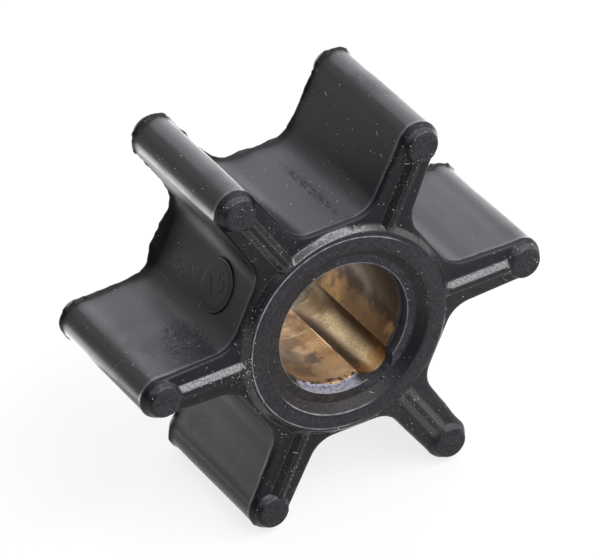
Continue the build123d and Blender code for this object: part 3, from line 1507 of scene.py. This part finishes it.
    def _painted_nub_highlight(self, spot: VaneMap, speckled: Socket) -> Socket:
        """Painted highlight on the drafted flank of each wear nub, where it faces up.

        Args:
            spot: Map of the vanes.
            speckled: Noise that breaks the highlight up.

        Returns:
            Socket of the mask.
        """
        tree, s = spot.tree, self.sizes
        apart = chained(tree, "SUBTRACT", spot.along, s.bulb_centre)
        from_nub = add_node(tree, "ShaderNodeCombineXYZ", {0: apart, 1: spot.across}).outputs[0]
        length = add_node(tree, "ShaderNodeVectorMath", {0: from_nub}, operation="LENGTH")
        flank = band(tree, length.outputs["Value"], s.nub_top, s.nub_base, 0.04)
        facing = add_node(tree, "ShaderNodeTexCoord").outputs["Normal"]
        upward = add_node(tree, "ShaderNodeSeparateXYZ", {0: facing}).outputs["Z"]
        return product(tree, flank, ramp(tree, spot.height, s.face + 0.02, s.face + 0.1),
                       ramp(tree, upward, 0.3, 0.9), ramp(tree, speckled, 0.35, 0.6, 0.4, 1.0))

    def _film_and_sheen_colour(self, spot: VaneMap, in_hole: Socket) -> Socket:
        """Grey on the ring, olive in the cone, brown in the far notch, lilac-grey painted sheen on
        the lit side of the floor, and a pale painted highlight low on the wall of the lip's hole.

        Args:
            spot: Map of the vanes.
            in_hole: 1 on the wall of the hole through a lip.

        Returns:
            Socket of the colour.
        """
        tree, s = spot.tree, self.sizes
        in_mouth = ramp(tree, spot.radius, s.mouth + 0.3, s.mouth_floor + 0.1)
        colour = mixed(tree, in_mouth, linear(self.film_colour), linear(self.mouth_colour))
        # painted sheen on one side of the mouth floor
        floor_sheen = product(tree, ramp(tree, spot.radius, s.mouth_floor + 0.05, s.mouth_floor - 0.1),
                           ramp(tree, spot.towards(self.lit_floor_angle), -0.3, 0.3))
        colour = mixed(tree, floor_sheen, colour, linear(self.floor_colour))
        # painted highlight low on the lip's hole wall, on one side
        low = product(tree, in_hole, ramp(tree, spot.towards(self.lit_lip_wall_angle), 0.85, 0.92))
        colour = mixed(tree, low, colour, linear(self.lip_wall_highlight_colour))
        notch = product(tree, in_hole, ramp(tree, spot.towards(s.key_angle), 0.93, 0.97),
                        ramp(tree, spot.depth, 6.0, 6.6))
        return mixed(tree, notch, colour, linear(self.notch_colour))

    def _colour(
        self, spot: VaneMap, film: Socket, smudge: Socket, patchy: Socket, on_head: Socket
    ) -> Socket:
        """Black rubber with its smudges and film, and painted sheen, highlights and shade, one over
        the other.

        Args:
            spot: Map of the vanes.
            film: How much dusty film lies on each point.
            smudge: Noise of the smudges.
            patchy: Noise of the film and the lines.
            on_head: 1 on the round heads.

        Returns:
            Socket of the colour.
        """
        tree = spot.tree
        speckled = add_node(tree, "ShaderNodeTexNoise", {
            "Vector": spot.place, "Scale": per_metre(self.speckle_mm), "Detail": 3.0,
        }).outputs["Fac"]
        in_hole = self._in_hole(spot)
        dust_and_sheen = either(tree, product(tree, film, ramp(tree, speckled, 0.36, 0.62, 0.3, 1.0)),
                       product(tree, in_hole, ramp(tree, speckled, 0.42, 0.5, 0.55, 1.0)))
        dark = linear(self.smudge_colour)
        colour = mixed(tree, ramp(tree, smudge, 0.5, 0.68), linear(self.colour), dark)
        for share, over in (
            # painted sheen on the heads
            (on_head, linear(self.head_sheen_colour)),
            # dust film, with a painted sheen on the mouth floor and a painted highlight on the lip
            # wall
            (dust_and_sheen, self._film_and_sheen_colour(spot, in_hole)),
            # painted highlights on the rims and along the seams
            (self._painted_rim_highlights(spot, patchy), linear(self.highlight_and_scuff_colour)),
            # painted shade at the foot and the edge of the mouth
            (self._painted_mouth_shade_lines(spot, patchy), linear(self.mouth_shade_line_colour)),
            # painted highlight on the upward flanks of the nubs
            (self._painted_nub_highlight(spot, speckled), linear(self.nub_highlight_colour)),
        ):
            colour = mixed(tree, share, colour, over)
        return colour

    def material(self) -> Material:
        """Builds the node material.

        Returns:
            The material.
        """
        s = self.sizes
        made, tree = new_material("nitrile_rubber_compression_moulded")
        spot = VaneMap(tree, s)
        grain, smudge, patchy = (
            add_node(tree, "ShaderNodeTexNoise", {
                "Vector": spot.place, "Scale": per_metre(size), "Detail": detail, "Roughness": fine,
            }).outputs["Fac"]
            for size, detail, fine in (
                (self.grain_mm, 3.0, 0.5), (self.smudge_mm, 5.0, 0.65), (self.patch_mm, 4.0, 0.5),
            )
        )
        film = self._film(spot, patchy)
        head_start = s.bulb_centre - s.bulb_radius
        on_head = product(tree, ramp(tree, spot.radius, head_start, head_start + 1.6),
                          ramp(tree, spot.height, s.shoulder, s.shoulder - 0.3))
        colour = self._colour(spot, film, smudge, patchy, on_head)
        web_start = s.hub_flat + s.root_fillet
        near_hub = ramp(tree, spot.radius, web_start + 1.2, web_start - 0.2)
        inputs = {0: on_head, 3: self.roughness, 4: self.head_roughness}
        rough = add_node(tree, "ShaderNodeMapRange", inputs).outputs[0]
        for share, level in (
            (near_hub, self.hub_roughness),
            (ramp(tree, smudge, 0.45, 0.72), self.smudge_roughness),
            (film, self.film_roughness),
        ):
            rough = mixed(tree, share, rough, level, "FLOAT")
        cuts = []
        for scuff in self.scuffs:
            marks = scuff.mask(tree, spot.scaled)
            rough = mixed(tree, marks, rough, self.scuff_roughness, "FLOAT")
            # pale scuff marks are real wear, in the same colour as the painted highlights
            colour = mixed(tree, product(tree, marks, scuff.pale), colour, linear(self.highlight_and_scuff_colour))
            cuts.append(product(tree, marks, scuff.dark))
        relief = add_node(tree, "ShaderNodeMath", {
            0: either(tree, *cuts), 1: -self.scuff_depth_mm / self.grain_depth_mm, 2: grain,
        }, operation="MULTIPLY_ADD").outputs[0]
        bump = add_node(tree, "ShaderNodeBump", {
            "Height": relief, "Strength": 1.0, "Distance": self.grain_depth_mm * MM,
        })
        shader = add_node(tree, "ShaderNodeBsdfPrincipled", {
            "Base Color": colour, "Roughness": rough, "IOR": self.ior, "Normal": bump.outputs[0],
        })
        add_node(tree, "ShaderNodeOutputMaterial", {"Surface": shader.outputs[0]})
        return made


@dataclass(frozen=True)
class MottledFlank:
    """The same rubber where the tool was spark eroded: drafted flanks of the ribs and boss ring.

    Small bright mottles catch the light, so the flanks stand out as pale facets.
    """

    # Real spark erosion leaves pits of about 0.05 mm. They are drawn at 0.2 mm, so that they show.

    colour: str = "#0e0e10"
    pale_colour: str = "#1f1f22"
    glossy_roughness: float = 0.15
    dull_roughness: float = 0.36
    ior: float = 1.5
    mottle_mm: float = 0.2
    mottle_depth_mm: float = 0.003

    def material(self) -> Material:
        """Builds the node material.

        Returns:
            The material.
        """
        made, tree = new_material("nitrile_rubber_spark_eroded_tool_finish")
        place = add_node(tree, "ShaderNodeTexCoord").outputs["Object"]
        mottle = add_node(tree, "ShaderNodeTexNoise", {
            "Vector": place, "Scale": per_metre(self.mottle_mm), "Detail": 2.0,
        }).outputs["Fac"]
        pale = linear(self.pale_colour)
        colour = mixed(tree, ramp(tree, mottle, 0.3, 0.7), linear(self.colour), pale)
        bump = add_node(tree, "ShaderNodeBump", {
            "Height": mottle, "Strength": 1.0, "Distance": self.mottle_depth_mm * MM,
        })
        rough = ramp(tree, mottle, 0.38, 0.62, self.dull_roughness, self.glossy_roughness)
        shader = add_node(tree, "ShaderNodeBsdfPrincipled", {
            "Base Color": colour, "Roughness": rough, "IOR": self.ior, "Normal": bump.outputs[0],
        })
        add_node(tree, "ShaderNodeOutputMaterial", {"Surface": shader.outputs[0]})
        return made


@dataclass(frozen=True)
class Stain:
    """A patch of one tone in the bore, by bearing in degrees and place along the shaft."""

    colour: str
    bearings: tuple[float, float]
    places: tuple[float, float]
    strength: float = 0.85
    ragged: float = 0.5
    slope: float = 0.0


class BoreMap(AxisMap):
    """Where a point lies in the bore, with ragged noise for the edges of stains."""

    RAGGED_MM = 0.9

    def __init__(self, tree: Tree) -> None:
        """Adds the nodes of the map.

        Args:
            tree: Tree of the material.
        """
        super().__init__(tree)
        self.degrees = product(tree, self.bearing, math.degrees(1))
        inputs = {"Vector": self.place, "Scale": per_metre(self.RAGGED_MM), "Detail": 3.0}
        noisy = add_node(tree, "ShaderNodeTexNoise", inputs).outputs["Fac"]
        self.ragged = chained(tree, "SUBTRACT", noisy, 0.5)

    def _moved(self, value: Socket, amount: float) -> Socket:
        """A value with ragged noise added."""
        inputs = {0: self.ragged, 1: amount, 2: value}
        return add_node(self.tree, "ShaderNodeMath", inputs, operation="MULTIPLY_ADD").outputs[0]

    def mask(self, stain: Stain) -> Socket:
        """How much a stain covers each point.

        Args:
            stain: The stain.

        Returns:
            Socket of the mask.
        """
        tree = self.tree
        bearing = self._moved(self.degrees, stain.ragged * 14)
        tilted = chained(tree, "SUBTRACT", self.degrees, sum(stain.bearings) / 2)
        inputs = {0: tilted, 1: -stain.slope, 2: self.depth}
        along = add_node(tree, "ShaderNodeMath", inputs, operation="MULTIPLY_ADD").outputs[0]
        along = self._moved(along, stain.ragged * 1.6)
        soft = 0.35 * stain.ragged + 0.03
        return product(tree, band(tree, bearing, *stain.bearings, soft * 8),
                       band(tree, along, *stain.places, soft), stain.strength)


@dataclass(frozen=True)
class MachinedBronze:
    """Leaded bronze, bored on a lathe and left to tarnish.

    Tarnish lies in clouds, from beige to dark brown. Fine turning marks round the axis are left in
    two bright worn strips on both sides of the keyway. The broached keyway is smooth, with a pale
    painted highlight along its floor, between walls painted darker as shade, and its back end is
    painted darker as shade. A dark patch over the right side of the bore is painted shade, a thin
    pale line round the bore at one depth is a painted reflection, and a bright line on the keyway's
    left edge and bright patches near the back of one worn strip are painted highlights. Specks of
    rubber are smeared over the front edge.
    """

    # Real turning marks are about 0.1 mm apart. They are drawn at 0.27 mm, so that they show.

    sizes: Sizes
    colour: str = "#90754f"
    tarnish_colour: str = "#6f5535"
    dark_colour: str = "#33261b"
    score_colour: str = "#4e3820"
    # painted highlight along the keyway's floor
    groove_floor_highlight_colour: str = "#c9b48a"
    # painted shade on the keyway's walls
    groove_wall_shade_colour: str = "#584733"
    metal: float = 0.75
    roughness: float = 0.42
    tarnish_roughness: float = 0.6
    turning_mm: float = 0.27
    turning_depth_mm: float = 0.014
    tarnish_mm: float = 3.0
    speck_mm: float = 0.3
    smear_mm: float = 0.4
    groove_grain_mm: float = 0.22
    groove: tuple[float, float] = (-79.0, -41.0)
    groove_floor: tuple[float, float] = (-65.0, -53.5)
    turned: tuple[Stain, ...] = (
        Stain("#a88350", (-91, -74), (-4.8, 2.0), 0.9, 1.1),
        Stain("#7d5c32", (-45, -18), (-5.6, 4.6), 0.9, 1.1),
    )
    stains_and_painted_light: tuple[Stain, ...] = (
        Stain("#5f4b35", (-126, -102), (-2.9, 0.0), 0.8, 1.3),
        Stain("#3b2a1c", (-101, -91), (-3.1, -1.3), 0.85, 1.1),
        # painted shade over the right side of the bore
        Stain("#382814", (-26, 34), (-7.0, 7.0), 0.92, 1.6),
        Stain("#a98a62", (-132, -76), (-7.0, -5.0), 0.8, 1.3),
        # painted reflection: a thin pale line round the bore at one depth, sloping on the right in
        # the next line
        Stain("#cdb985", (-104, -77), (2.05, 2.2), 0.4, 0.35),
        Stain("#7c4a2e", (-31, -19), (2.0, 2.2), 0.4, 0.4, 0.2),
        Stain("#2c2018", (-71, -67), (4.6, 5.1), 0.8, 0.25),
        # painted highlight along the keyway's left edge
        Stain("#e8d3a4", (-76.3, -75.5), (-1.9, 2.1), 0.6, 0.05),
        # painted highlights: bright patches near the back of one worn strip
        Stain("#d8aa6a", (-43, -33), (2.2, 4.9), 0.45, 2.6),
    )
    smeared: Stain = Stain("#1f1b1c", (-138, -70), (-7.0, -6.0), 1.0, 0.9)
    groove_stains_and_shade: tuple[Stain, ...] = (
        Stain("#a5793f", (-74, -45), (-7.0, -5.0), 0.7, 2.4),
        # painted shade: darkens the back end of the keyway
        Stain("#6d5639", (-74, -45), (3.6, 7.0), 0.85, 2.6),
    )

    def _groove(self, bore: BoreMap) -> Socket:
        """Colour of the keyway: walls painted darker as shade, a pale painted highlight along the
        floor, and its stains, of which the one at the back end is painted shade.

        Args:
            bore: Map of the bore.

        Returns:
            Socket of the colour.
        """
        tree = bore.tree
        inputs = {"Vector": bore.place, "Scale": per_metre(self.groove_grain_mm), "Detail": 4.0}
        grain = add_node(tree, "ShaderNodeTexNoise", inputs).outputs["Fac"]
        # painted highlight along the floor, between walls painted darker as shade
        floor = product(tree, band(tree, bore.degrees, *self.groove_floor, 5.5),
                        ramp(tree, grain, 0.3, 0.62, 0.55, 1.0))
        colour = mixed(tree, floor, linear(self.groove_wall_shade_colour), linear(self.groove_floor_highlight_colour))
        for stain in self.groove_stains_and_shade:
            colour = mixed(tree, bore.mask(stain), colour, linear(stain.colour))
        return colour

    def material(self) -> Material:
        """Builds the node material.

        Returns:
            The material.
        """
        made, tree = new_material("leaded_bronze_bored_and_tarnished")
        bore = BoreMap(tree)
        clouds, specks, smears = (
            add_node(tree, "ShaderNodeTexNoise", {
                "Vector": bore.place, "Scale": per_metre(size), "Detail": detail, "Roughness": fine,
            }).outputs["Fac"]
            for size, detail, fine in (
                (self.tarnish_mm, 5.0, 0.6), (self.speck_mm, 3.0, 0.5), (self.smear_mm, 4.0, 0.5),
            )
        )
        scored = add_node(tree, "ShaderNodeTexWave", {
            "Vector": bore.place, "Scale": per_metre(self.turning_mm) * 2 * math.pi / 20,
            "Distortion": 2.4, "Detail": 3.0, "Detail Scale": 1.3,
        }, wave_type="BANDS", bands_direction="Y").outputs["Fac"]
        tarnish = linear(self.tarnish_colour)
        colour = mixed(tree, ramp(tree, clouds, 0.42, 0.62), linear(self.colour), tarnish)
        strips = [bore.mask(stain) for stain in self.turned]
        score = product(tree, ramp(tree, scored, 0.3, 0.7), 0.8)
        for stain, strip in zip(self.turned, strips):
            marked = mixed(tree, score, linear(stain.colour), linear(self.score_colour))
            colour = mixed(tree, strip, colour, marked)
        for stain in self.stains_and_painted_light:
            colour = mixed(tree, bore.mask(stain), colour, linear(stain.colour))
        in_groove = ramp(tree, bore.radius, self.sizes.bore + 0.03, self.sizes.bore + 0.08)
        at_groove = product(tree, in_groove, band(tree, bore.degrees, *self.groove, 0.5))
        specked = product(tree, ramp(tree, specks, 0.62, 0.7),
                          ramp(tree, at_groove, 0.0, 1.0, 0.6, 0.15))
        smeared = product(tree, bore.mask(self.smeared), ramp(tree, smears, 0.5, 0.56))
        for share, over in (
            (at_groove, self._groove(bore)),
            (specked, linear(self.dark_colour)),
            (smeared, linear(self.smeared.colour)),
        ):
            colour = mixed(tree, share, colour, over)
        height = product(tree, scored, ramp(tree, either(tree, *strips), 0.0, 1.0, 0.12, 1.0))
        bump = add_node(tree, "ShaderNodeBump", {
            "Height": height, "Strength": 1.0, "Distance": self.turning_depth_mm * MM,
        })
        shader = add_node(tree, "ShaderNodeBsdfPrincipled", {
            "Base Color": colour, "Metallic": self.metal, "Normal": bump.outputs[0],
            "Roughness": ramp(tree, clouds, 0.4, 0.65, self.roughness, self.tarnish_roughness),
        })
        add_node(tree, "ShaderNodeOutputMaterial", {"Surface": shader.outputs[0]})
        return made


@dataclass(frozen=True)
class WhiteDust:
    """Talc from the mould release: matt white crumbs."""

    colour: str = "#c4c2be"
    shaded_colour: str = "#8f8d8a"
    tone_mm: float = 1.5
    roughness: float = 0.9

    def material(self) -> Material:
        """Builds the node material.

        Returns:
            The material.
        """
        made, tree = new_material("talc_dust")
        place = add_node(tree, "ShaderNodeTexCoord").outputs["Object"]
        inputs = {"Vector": place, "Scale": per_metre(self.tone_mm)}
        tone = add_node(tree, "ShaderNodeTexNoise", inputs).outputs["Fac"]
        colour = mixed(tree, tone, linear(self.colour), linear(self.shaded_colour))
        inputs = {"Base Color": colour, "Roughness": self.roughness}
        shader = add_node(tree, "ShaderNodeBsdfPrincipled", inputs)
        add_node(tree, "ShaderNodeOutputMaterial", {"Surface": shader.outputs[0]})
        return made


@dataclass
class DustScatter:
    """Crumbs of dust on the open faces of the rubber, laid out by Geometry Nodes."""

    per_square_mm: float = 2.2
    smallest_mm: float = 0.018
    largest_mm: float = 0.072
    cluster_mm: float = 3.5
    between_clusters: float = 0.12   # share of the crumbs that lie between the clusters
    skew: float = 3.2                # the higher, the fewer large crumbs
    fibres: float = 0.05             # share of the crumbs that are drawn out as fibres
    fibre_length: float = 4.0        # times the length and the width of a round crumb
    fibre_width: float = 0.5
    seed: int = 7

    def _tree(self) -> Tree:
        """Points on faces, a small crumb on each, real geometry at the end.

        Returns:
            The tree, with its sizes, seed and finish as inputs.
        """
        tree = bpy.data.node_groups.new("dust_on_faces", "GeometryNodeTree")
        for name, kind in (
            ("Geometry", "Geometry"), ("Density", "Float"), ("Smallest", "Float"),
            ("Largest", "Float"), ("Cluster Scale", "Float"), ("Seed", "Int"),
            ("Finish", "Material"),
        ):
            tree.interface.new_socket(name, in_out="INPUT", socket_type=f"NodeSocket{kind}")
        tree.interface.new_socket("Geometry", in_out="OUTPUT", socket_type="NodeSocketGeometry")
        given = add_node(tree, "NodeGroupInput").outputs
        inputs = {"Name": "open_face"}
        open_face = add_node(tree, "GeometryNodeInputNamedAttribute", inputs, data_type="FLOAT")
        inputs = {"Scale": given["Cluster Scale"], "Detail": 2.0}
        cloud = add_node(tree, "ShaderNodeTexNoise", inputs).outputs["Fac"]
        density = product(tree, given["Density"], open_face.outputs[0],
                          ramp(tree, cloud, 0.42, 0.7, self.between_clusters, 1.0))
        spots = add_node(tree, "GeometryNodeDistributePointsOnFaces", {
            "Mesh": given["Geometry"], "Density": density, "Seed": given["Seed"],
        })
        crumb = add_node(tree, "GeometryNodeMeshIcoSphere", {"Radius": 1.0, "Subdivisions": 1})
        random = "FunctionNodeRandomValue"
        chance, stretch, fibre, spun = (
            add_node(tree, random, {**inputs, "Seed": given["Seed"]}, data_type=kind)
            for kind, inputs in (
                ("FLOAT", {}), ("FLOAT_VECTOR", {0: (0.6, 0.6, 0.5), 1: (1.5, 1.1, 0.9)}),
                ("BOOLEAN", {"Probability": self.fibres}), ("FLOAT", {2: 0.0, 3: 2 * math.pi}),
            )
        )
        skewed = chained(tree, "POWER", chance.outputs[1], self.skew)
        size, longer, thinner = (
            add_node(tree, "ShaderNodeMapRange", {0: value, 3: low, 4: high}).outputs[0]
            for value, low, high in (
                (skewed, given["Smallest"], given["Largest"]),
                (fibre.outputs[3], 1.0, self.fibre_length),
                (fibre.outputs[3], 1.0, self.fibre_width),
            )
        )
        inputs = {0: longer, 1: thinner, 2: thinner}
        drawn = add_node(tree, "ShaderNodeCombineXYZ", inputs).outputs[0]
        inputs = {0: stretch.outputs[0], 1: drawn}
        shape = add_node(tree, "ShaderNodeVectorMath", inputs, operation="MULTIPLY").outputs[0]
        scale = add_node(tree, "ShaderNodeVectorMath", {0: shape, 3: size}, operation="SCALE")
        inputs = {"Axis": (0, 0, 1), "Angle": spun.outputs[1]}
        turn = add_node(tree, "FunctionNodeAxisAngleToRotation", inputs).outputs[0]
        inputs = {0: spots.outputs["Rotation"], 1: turn}
        laid = add_node(tree, "FunctionNodeRotateRotation", inputs, rotation_space="LOCAL")
        placed = add_node(tree, "GeometryNodeInstanceOnPoints", {
            "Points": spots.outputs["Points"], "Instance": crumb.outputs["Mesh"],
            "Rotation": laid.outputs[0], "Scale": scale.outputs[0],
        })
        real = add_node(tree, "GeometryNodeRealizeInstances", {"Geometry": placed.outputs[0]})
        inputs = {"Geometry": real.outputs[0], "Material": given["Finish"]}
        dressed = add_node(tree, "GeometryNodeSetMaterial", inputs)
        add_node(tree, "NodeGroupOutput", {"Geometry": dressed.outputs[0]})
        return tree

    def build(self, ground: Object, finish: Material) -> Object:
        """Scatters the dust over another piece.

        Args:
            ground: Piece whose open faces catch the dust.
            finish: Material of the dust.

        Returns:
            One plain mesh with all the crumbs.
        """
        carrier = linked("dust_carrier", ground.data.copy())
        modifier = carrier.modifiers.new("dust", "NODES")
        modifier.node_group = self._tree()
        values = {
            "Density": self.per_square_mm / MM**2, "Smallest": self.smallest_mm * MM,
            "Largest": self.largest_mm * MM, "Cluster Scale": per_metre(self.cluster_mm),
            "Seed": self.seed, "Finish": finish,
        }
        for item in modifier.node_group.interface.items_tree:
            if item.in_out == "INPUT" and item.name in values:
                modifier[item.identifier] = values[item.name]
        return linked("dust", plain_mesh(carrier, "dust"))


# Studio --------------------------------------------------------------------------------------


def direction(bearing: float, elevation: float) -> Vector:
    """Unit vector away from the part.

    Args:
        bearing: Degrees from the front (-Y) towards +X.
        elevation: Degrees above the horizon.

    Returns:
        The vector.
    """
    turn, rise = math.radians(bearing), math.radians(elevation)
    level = math.cos(rise)
    return Vector((math.sin(turn) * level, -math.cos(turn) * level, math.sin(rise)))


@dataclass(frozen=True)
class Softbox:
    """A rectangular studio light. A brightness of 1 looks white.

    Bearing and elevation, in degrees, place it round the part: bearing from the front (-Y) towards
    +X. It looks at the part, or straight up where it lies flat.
    """

    name: str
    bearing: float
    elevation: float
    distance: float
    width: float
    height: float
    brightness: float
    colour: tuple[float, float, float] = (1.0, 1.0, 1.0)
    flat: bool = False

    def build(self) -> Object:
        """Makes the light.

        Returns:
            The light.
        """
        data = bpy.data.lights.new(self.name, "AREA")
        data.shape = "RECTANGLE"
        data.size, data.size_y = self.width, self.height
        data.energy = self.brightness * math.pi * self.width * self.height
        data.color = self.colour
        lamp = linked(self.name, data)
        ray = direction(self.bearing, self.elevation)
        lamp.location = ray * self.distance
        facing = Vector((0, 0, -1)) if self.flat else ray
        lamp.rotation_euler = facing.to_track_quat("Z", "Y").to_euler()
        lamp.visible_camera = False
        return lamp


@dataclass(frozen=True)
class Studio:
    """Floor, lights, surroundings and camera."""

    floor_radius: float = 3.0
    floor_colour: str = "#f6f6f6"
    floor_fleck_colour: str = "#f4f4f4"
    floor_fleck_mm: float = 2.0
    floor_white: float = 0.8
    world_strength: float = 0.3
    flag_colour: str = "#060606"
    flag_bearings: tuple[float, float] = (-105.0, -22.0)
    flag_distance: float = 0.7
    flag_height: float = 0.75
    bearing: float = -25.565
    elevation: float = 33.486
    roll: float = -6.172
    distance: float = 0.54621
    lens: float = 362.59
    aim: tuple[float, float, float] = (0.000179, 0.000367, 0.000618)
    lights: tuple[Softbox, ...] = (
        Softbox("back_softbox", 149.5, 31.0, 0.9, 0.95, 0.75, 2.25, (0.955, 0.915, 1.0)),
        Softbox("back_fill", 172.0, 33.0, 0.95, 1.5, 0.7, 0.5, (0.97, 0.95, 1.0)),
        Softbox("front_key", 30.0, 50.0, 0.9, 1.3, 0.26, 9.6, (0.99, 0.95, 1.0)),
        Softbox("side_softbox", 82.0, 14.0, 0.9, 0.5, 0.45, 1.0),
        Softbox("top_softbox", 90.0, 83.0, 0.9, 0.35, 0.35, 3.0, (1.0, 0.96, 1.0)),
        Softbox("back_strip", 141.0, 3.8, 0.8, 0.3, 0.13, 2.2),
        Softbox("low_back_card", 139.0, -5.9, 0.17, 0.2, 0.2, 1.9, flat=True),
        Softbox("low_rim_card", -140.0, -16.1, 0.0632, 0.052, 0.05, 3.1, flat=True),
    )

    def flag(self) -> Object:
        """Makes the dark card at the front left, which keeps light off the surfaces facing it.

        Returns:
            The card.
        """
        count = 12
        builder = MeshBuilder()
        turns = np.radians(np.linspace(*self.flag_bearings, count))
        for rise in (0.0, self.flag_height):
            row = np.column_stack([np.sin(turns), -np.cos(turns), np.full(count, rise)])
            builder.add(row * self.flag_distance / MM)
        builder.faces = [(i, i + 1, i + 1 + count, i + count) for i in range(count - 1)]
        card = builder.object("flag")
        material, tree = new_material("black_velvet")
        inputs = {"Base Color": linear(self.flag_colour), "Roughness": 1.0}
        matt = add_node(tree, "ShaderNodeBsdfPrincipled", inputs)
        add_node(tree, "ShaderNodeOutputMaterial", {"Surface": matt.outputs[0]})
        card.data.materials.append(material)
        card.visible_camera = False
        card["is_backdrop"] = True
        return card

    def floor(self, level: float) -> Object:
        """Makes the pale floor at the level that the part lies on.

        Args:
            level: Its height in metres.

        Returns:
            The floor.
        """
        count = 96
        builder = MeshBuilder()
        rays = rays_at(2 * math.pi * np.arange(count) / count)
        ring = np.column_stack([rays, np.zeros(count)]) * self.floor_radius / MM
        row = builder.add(ring + np.array([0, 0, level / MM]))
        builder.fan(row, np.array([0, 0, level / MM]))
        floor = builder.object("floor")
        material, tree = new_material("matt_paper")
        flecks = add_node(tree, "ShaderNodeTexNoise", {"Scale": per_metre(self.floor_fleck_mm)})
        fleck = linear(self.floor_fleck_colour)
        colour = mixed(tree, flecks.outputs["Fac"], linear(self.floor_colour), fleck)
        matt = add_node(tree, "ShaderNodeBsdfPrincipled", {"Base Color": colour, "Roughness": 0.9})
        white = add_node(tree, "ShaderNodeEmission", {"Color": (1, 1, 1, 1), "Strength": 1.0})
        share = product(tree, seen_ray(tree), self.floor_white)
        inputs = {0: share, 1: matt.outputs[0], 2: white.outputs[0]}
        both = add_node(tree, "ShaderNodeMixShader", inputs)
        add_node(tree, "ShaderNodeOutputMaterial", {"Surface": both.outputs[0]})
        floor.data.materials.append(material)
        floor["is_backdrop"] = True
        return floor

    def surroundings(self) -> None:
        """Plain white room: full white where it is seen, dimmer where it only lights."""
        world = bpy.data.worlds.new("white_room")
        world.use_nodes = True
        tree = world.node_tree
        tree.nodes.clear()
        inputs = {0: seen_ray(tree), 3: self.world_strength, 4: 1.0}
        strength = add_node(tree, "ShaderNodeMapRange", inputs).outputs[0]
        inputs = {"Color": (1, 1, 1, 1), "Strength": strength}
        light = add_node(tree, "ShaderNodeBackground", inputs)
        add_node(tree, "ShaderNodeOutputWorld", {"Surface": light.outputs[0]})
        bpy.context.scene.world = world

    def camera(self) -> Object:
        """Long lens, turned and rolled round the line of sight.

        Returns:
            The camera.
        """
        data = bpy.data.cameras.new("camera")
        data.lens = self.lens
        data.sensor_width = 36.0
        data.clip_end = 20.0
        camera = linked("camera", data)
        back = direction(self.bearing, self.elevation)
        upright = (-back).to_track_quat("-Z", "Y").to_matrix()
        rolled = upright @ Matrix.Rotation(math.radians(self.roll), 3, "Z")
        place = Matrix.Translation(Vector(self.aim) + back * self.distance)
        camera.matrix_world = place @ rolled.to_4x4()
        bpy.context.scene.camera = camera
        return camera

    def build(self, level: float) -> None:
        """Sets up the whole studio round the part.

        Args:
            level: Height of the floor in metres.
        """
        bpy.context.scene.view_settings.view_transform = "Standard"
        self.surroundings()
        self.floor(level)
        self.camera()
        self.flag()
        for light in self.lights:
            light.build()


# Assembly ------------------------------------------------------------------------------------


def dress(
    piece: Object, materials: list[Material], nodes: tuple[str, ...] = ()
) -> None:
    """Gives a piece its materials and ties it to the part.

    Args:
        piece: Finished piece.
        materials: One material for each material slot of the mesh.
        nodes: Solids that it stands for, if any.
    """
    finish = np.zeros(len(piece.data.polygons), np.int32)
    piece.data.polygons.foreach_get("material_index", finish)
    piece.data.materials.clear()
    for material in materials:
        piece.data.materials.append(material)
    piece.data.polygons.foreach_set("material_index", finish)
    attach(piece, BODY)
    if nodes:
        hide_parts(*nodes)
    LOG.info("%s: %d faces", piece.name, len(piece.data.polygons))


def main() -> None:
    """Builds and dresses every piece, then the studio."""
    logging.basicConfig(level=logging.INFO, format="%(name)s %(message)s")
    solid_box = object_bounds()
    sizes = Sizes.from_frame()
    rubber = MouldedRubber(sizes).material()
    flank = MottledFlank().material()
    bronze = MachinedBronze(sizes).material()
    talc = WhiteDust().material()

    body = RubberMoulding(sizes).build()
    dust = DustScatter().build(body, talc)
    dress(body, [rubber, flank], ("rubber_impeller",))
    dress(LipFlash(sizes).build(), [rubber])
    pad = InsertPad(sizes)
    dress(pad.build(), [rubber])
    dress(pad.build_number(), [rubber])
    dress(BronzeBush(sizes).build(), [bronze], ("keyed_bush",))
    dress(dust, [talc])

    Studio().build(solid_box[0].z - FLOOR_GAP)


if __name__ == "__main__":
    main()
